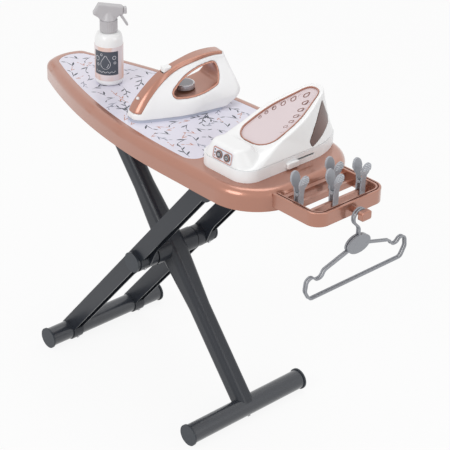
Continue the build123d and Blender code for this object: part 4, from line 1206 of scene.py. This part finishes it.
    def lock_ribs(self) -> None:
        """Put fine upright ribs on the outer face of the lock's tab."""
        low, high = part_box("lock_slider")
        parts = []
        for number in range(self.rib_count):
            rib = ridge(self.rib_size, (0.4, 0.9))
            y = (low[1] + high[1]) / 2 + self.rib_pitch * (number - (self.rib_count - 1) / 2)
            settle(rib, Matrix.Translation((high[0], y, (low[2] + high[2]) / 2)))
            parts.append(rib)
        fit(joined(parts), "lock_ribs", "lock", WHITE_GLOSS)

    def build(self) -> None:
        """Dress the station's CAD nodes and add its printed and raised pieces."""
        self.control_panel()
        self.button_marks()
        self.dimple_shade_rings()
        self.trim()
        self.soften("station_shell", "board", WHITE_GLOSS, voxel=0.0011, rounds=11)
        self.dress(TRAY_WHITE, "station_base")
        self.soften("lock_slider", "lock", WHITE_GLOSS, voxel=0.0004, rounds=6)
        self.lock_ribs()
        self.dress(TANK_WINDOW, "tank_windows")
        self.dress(LILAC_PLATE, "rest_plate")
        self.dress(PANEL_WHITE, "control_panel")
        self.dress(DARK_BUTTON, "steam_button", "power_button")


@dataclass
class Iron(Assembly):
    """The iron.

    Attributes:
        teeth: How many fine teeth its bright rim has.
        tooth: How far a tooth reaches out, round and up.
        rim_wire: Radius of the rim's wire.
        rim_inset: From the dial's edge to the middle of that wire.
    """

    teeth: int = 44
    tooth: Point = (0.0009, 0.0011, 0.0042)
    rim_wire: float = 0.0009
    rim_inset: float = 0.0011

    def dial_rim(self) -> None:
        """Put a bright ring of fine teeth round the dial's top edge."""
        low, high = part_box("dial")
        x, y = (low[0] + high[0]) / 2, (low[1] + high[1]) / 2
        radius = (high[0] - low[0]) / 2
        ring = hoop(radius - self.rim_inset, self.rim_wire, 0.5, 96)
        settle(ring, Matrix.Translation((x, y, high[2] - 0.0001)))
        parts = [ring]
        for number in range(self.teeth):
            tooth = ridge(self.tooth, (0.45, 0.85))
            turn = Matrix.Rotation(2 * math.pi * number / self.teeth, 4, "Z")
            out = Matrix.Translation((radius - 0.0003, 0.0, 0.0))
            settle(tooth, Matrix.Translation((x, y, high[2] - 0.0024)) @ turn @ out)
            parts.append(tooth)
        fit(joined(parts), "dial_rim", "iron_dial", DIAL_RIM, smooth_deg=40.0)

    def build(self) -> None:
        """Dress the iron's CAD nodes and soften its mouldings."""
        self.dial_rim()
        self.soften("iron_shell", "iron", WHITE_GLOSS, voxel=0.001, rounds=10)
        self.soften("grip_strip", "iron", ROSE_GOLD, voxel=0.0006, rounds=24)
        self.soften("handle_lining", "iron", ROSE_GOLD, voxel=0.0008, rounds=6)
        self.dress(SOLE_GREY, "soleplate")
        self.dress(DIAL_GREY, "dial")
        self.soften("iron_button", "iron_button", WHITE_GLOSS,
                    voxel=0.0005, rounds=16, foot=0.003, thin=0.0001)
        self.dress(WHITE_GLOSS, "spray_nozzle")


@dataclass
class SprayBottle(Assembly):
    """The spray bottle.

    Attributes:
        middle: Where the bottle stands.
        radius: Radius of its label.
        square: Lowest and highest edge of the dark square on the label.
        arc_deg: Where the square starts and ends round the bottle.
        line: Width of the white lines on it.
    """

    middle: Point = (-0.146, -0.012, 0.4943)
    radius: float = 0.0235
    square: tuple[float, float] = (0.0205, 0.0615)
    arc_deg: tuple[float, float] = (-107.0, 0.0)
    line: float = 0.0009

    def wrapped(self, across: float, up: float) -> Vector:
        """Find the place on the label of a point of its flat drawing.

        Args:
            across: Distance round the bottle from the square's middle.
            up: Height over the square's middle.

        Returns:
            The place, in the toy's frame.
        """
        way = math.radians(sum(self.arc_deg) / 2) + across / self.radius
        reach = self.radius - self.line * 0.2
        x, y, z = self.middle
        return Vector((x + reach * math.cos(way), y + reach * math.sin(way), z + sum(self.square) / 2 + up))

    def dark_square(self) -> None:
        """Lay the dark square round the label."""
        low, high = self.square
        deselect()
        bpy.ops.mesh.primitive_cylinder_add(
            vertices=180, radius=self.radius + 0.00002, depth=high - low, end_fill_type="NOTHING"
        )
        piece = bpy.context.object
        start, end = (math.radians(value) for value in self.arc_deg)
        pick(piece, lambda place: not start <= math.atan2(place.y, place.x) <= end)
        bpy.ops.mesh.delete(type="VERT")
        leave()
        modify(piece, "SOLIDIFY", thickness=0.00006, offset=0.0)
        x, y, z = self.middle
        place = Matrix.Translation((x, y, z + (low + high) / 2))
        fit(piece, "label_square", "bottle", LABEL_SLATE, place)

    def drawing(self) -> None:
        """Draw one large drop, bubbles and a wave in white lines on the square."""
        drop = [
            (0.0, 0.0150), (0.0035, 0.0085), (0.0078, 0.0025), (0.0085, -0.0035), (0.0050, -0.0085),
            (0.0, -0.0102), (-0.0050, -0.0085), (-0.0085, -0.0035), (-0.0078, 0.0025), (-0.0035, 0.0085),
        ]
        lines = [stroke([self.wrapped(a, b) for a, b in drop], self.line, closed=True)]
        shine = [(0.0052, -0.0005), (0.0050, -0.0040), (0.0022, -0.0068)]
        lines.append(stroke([self.wrapped(a, b) for a, b in shine], self.line))
        for a, b, size in (
            (0.0148, 0.0098, 0.0030), (-0.0150, 0.0072, 0.0040), (0.0158, 0.0008, 0.0019),
            (-0.0135, -0.0032, 0.0021), (-0.0068, 0.0145, 0.0018),
        ):
            points = ring_points(size, 0.0, 324.0, 9)
            lines.append(stroke([self.wrapped(a + p.x, b + p.y) for p in points], self.line, closed=True))
        wave = [(-0.0170 + 0.0034 * k, -0.0152 + 0.0019 * (-1) ** k) for k in range(11)]
        lines.append(stroke([self.wrapped(a, b) for a, b in wave], self.line))
        fit(joined(lines), "label_drawing", "bottle", LABEL_WHITE, smooth_deg=60.0)

    def build(self) -> None:
        """Dress the bottle's CAD nodes and draw its label."""
        self.dark_square()
        self.drawing()
        self.dress(WHITE_GLOSS, "bottle_body")
        self.dress(MarbledLabel(), "bottle_label")
        self.soften("sprayer_head", "bottle", SILVER_GREY, voxel=0.0006, rounds=8)
        self.dress(SILVER_GREY, "bottle_collar", "trigger", "nozzle_cap", "dip_tube")


def main() -> None:
    """Load the frame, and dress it."""
    logging.basicConfig(level=logging.INFO, format="%(message)s")
    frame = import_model()
    deselect()
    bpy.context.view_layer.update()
    nodes = frame["nodes"]
    Studio().build()
    for assembly in (Board, Legs, PegRack, Station, Iron, SprayBottle):
        assembly(nodes).build()
        log.info("built %s", assembly.__name__)


if __name__ == "__main__":
    main()
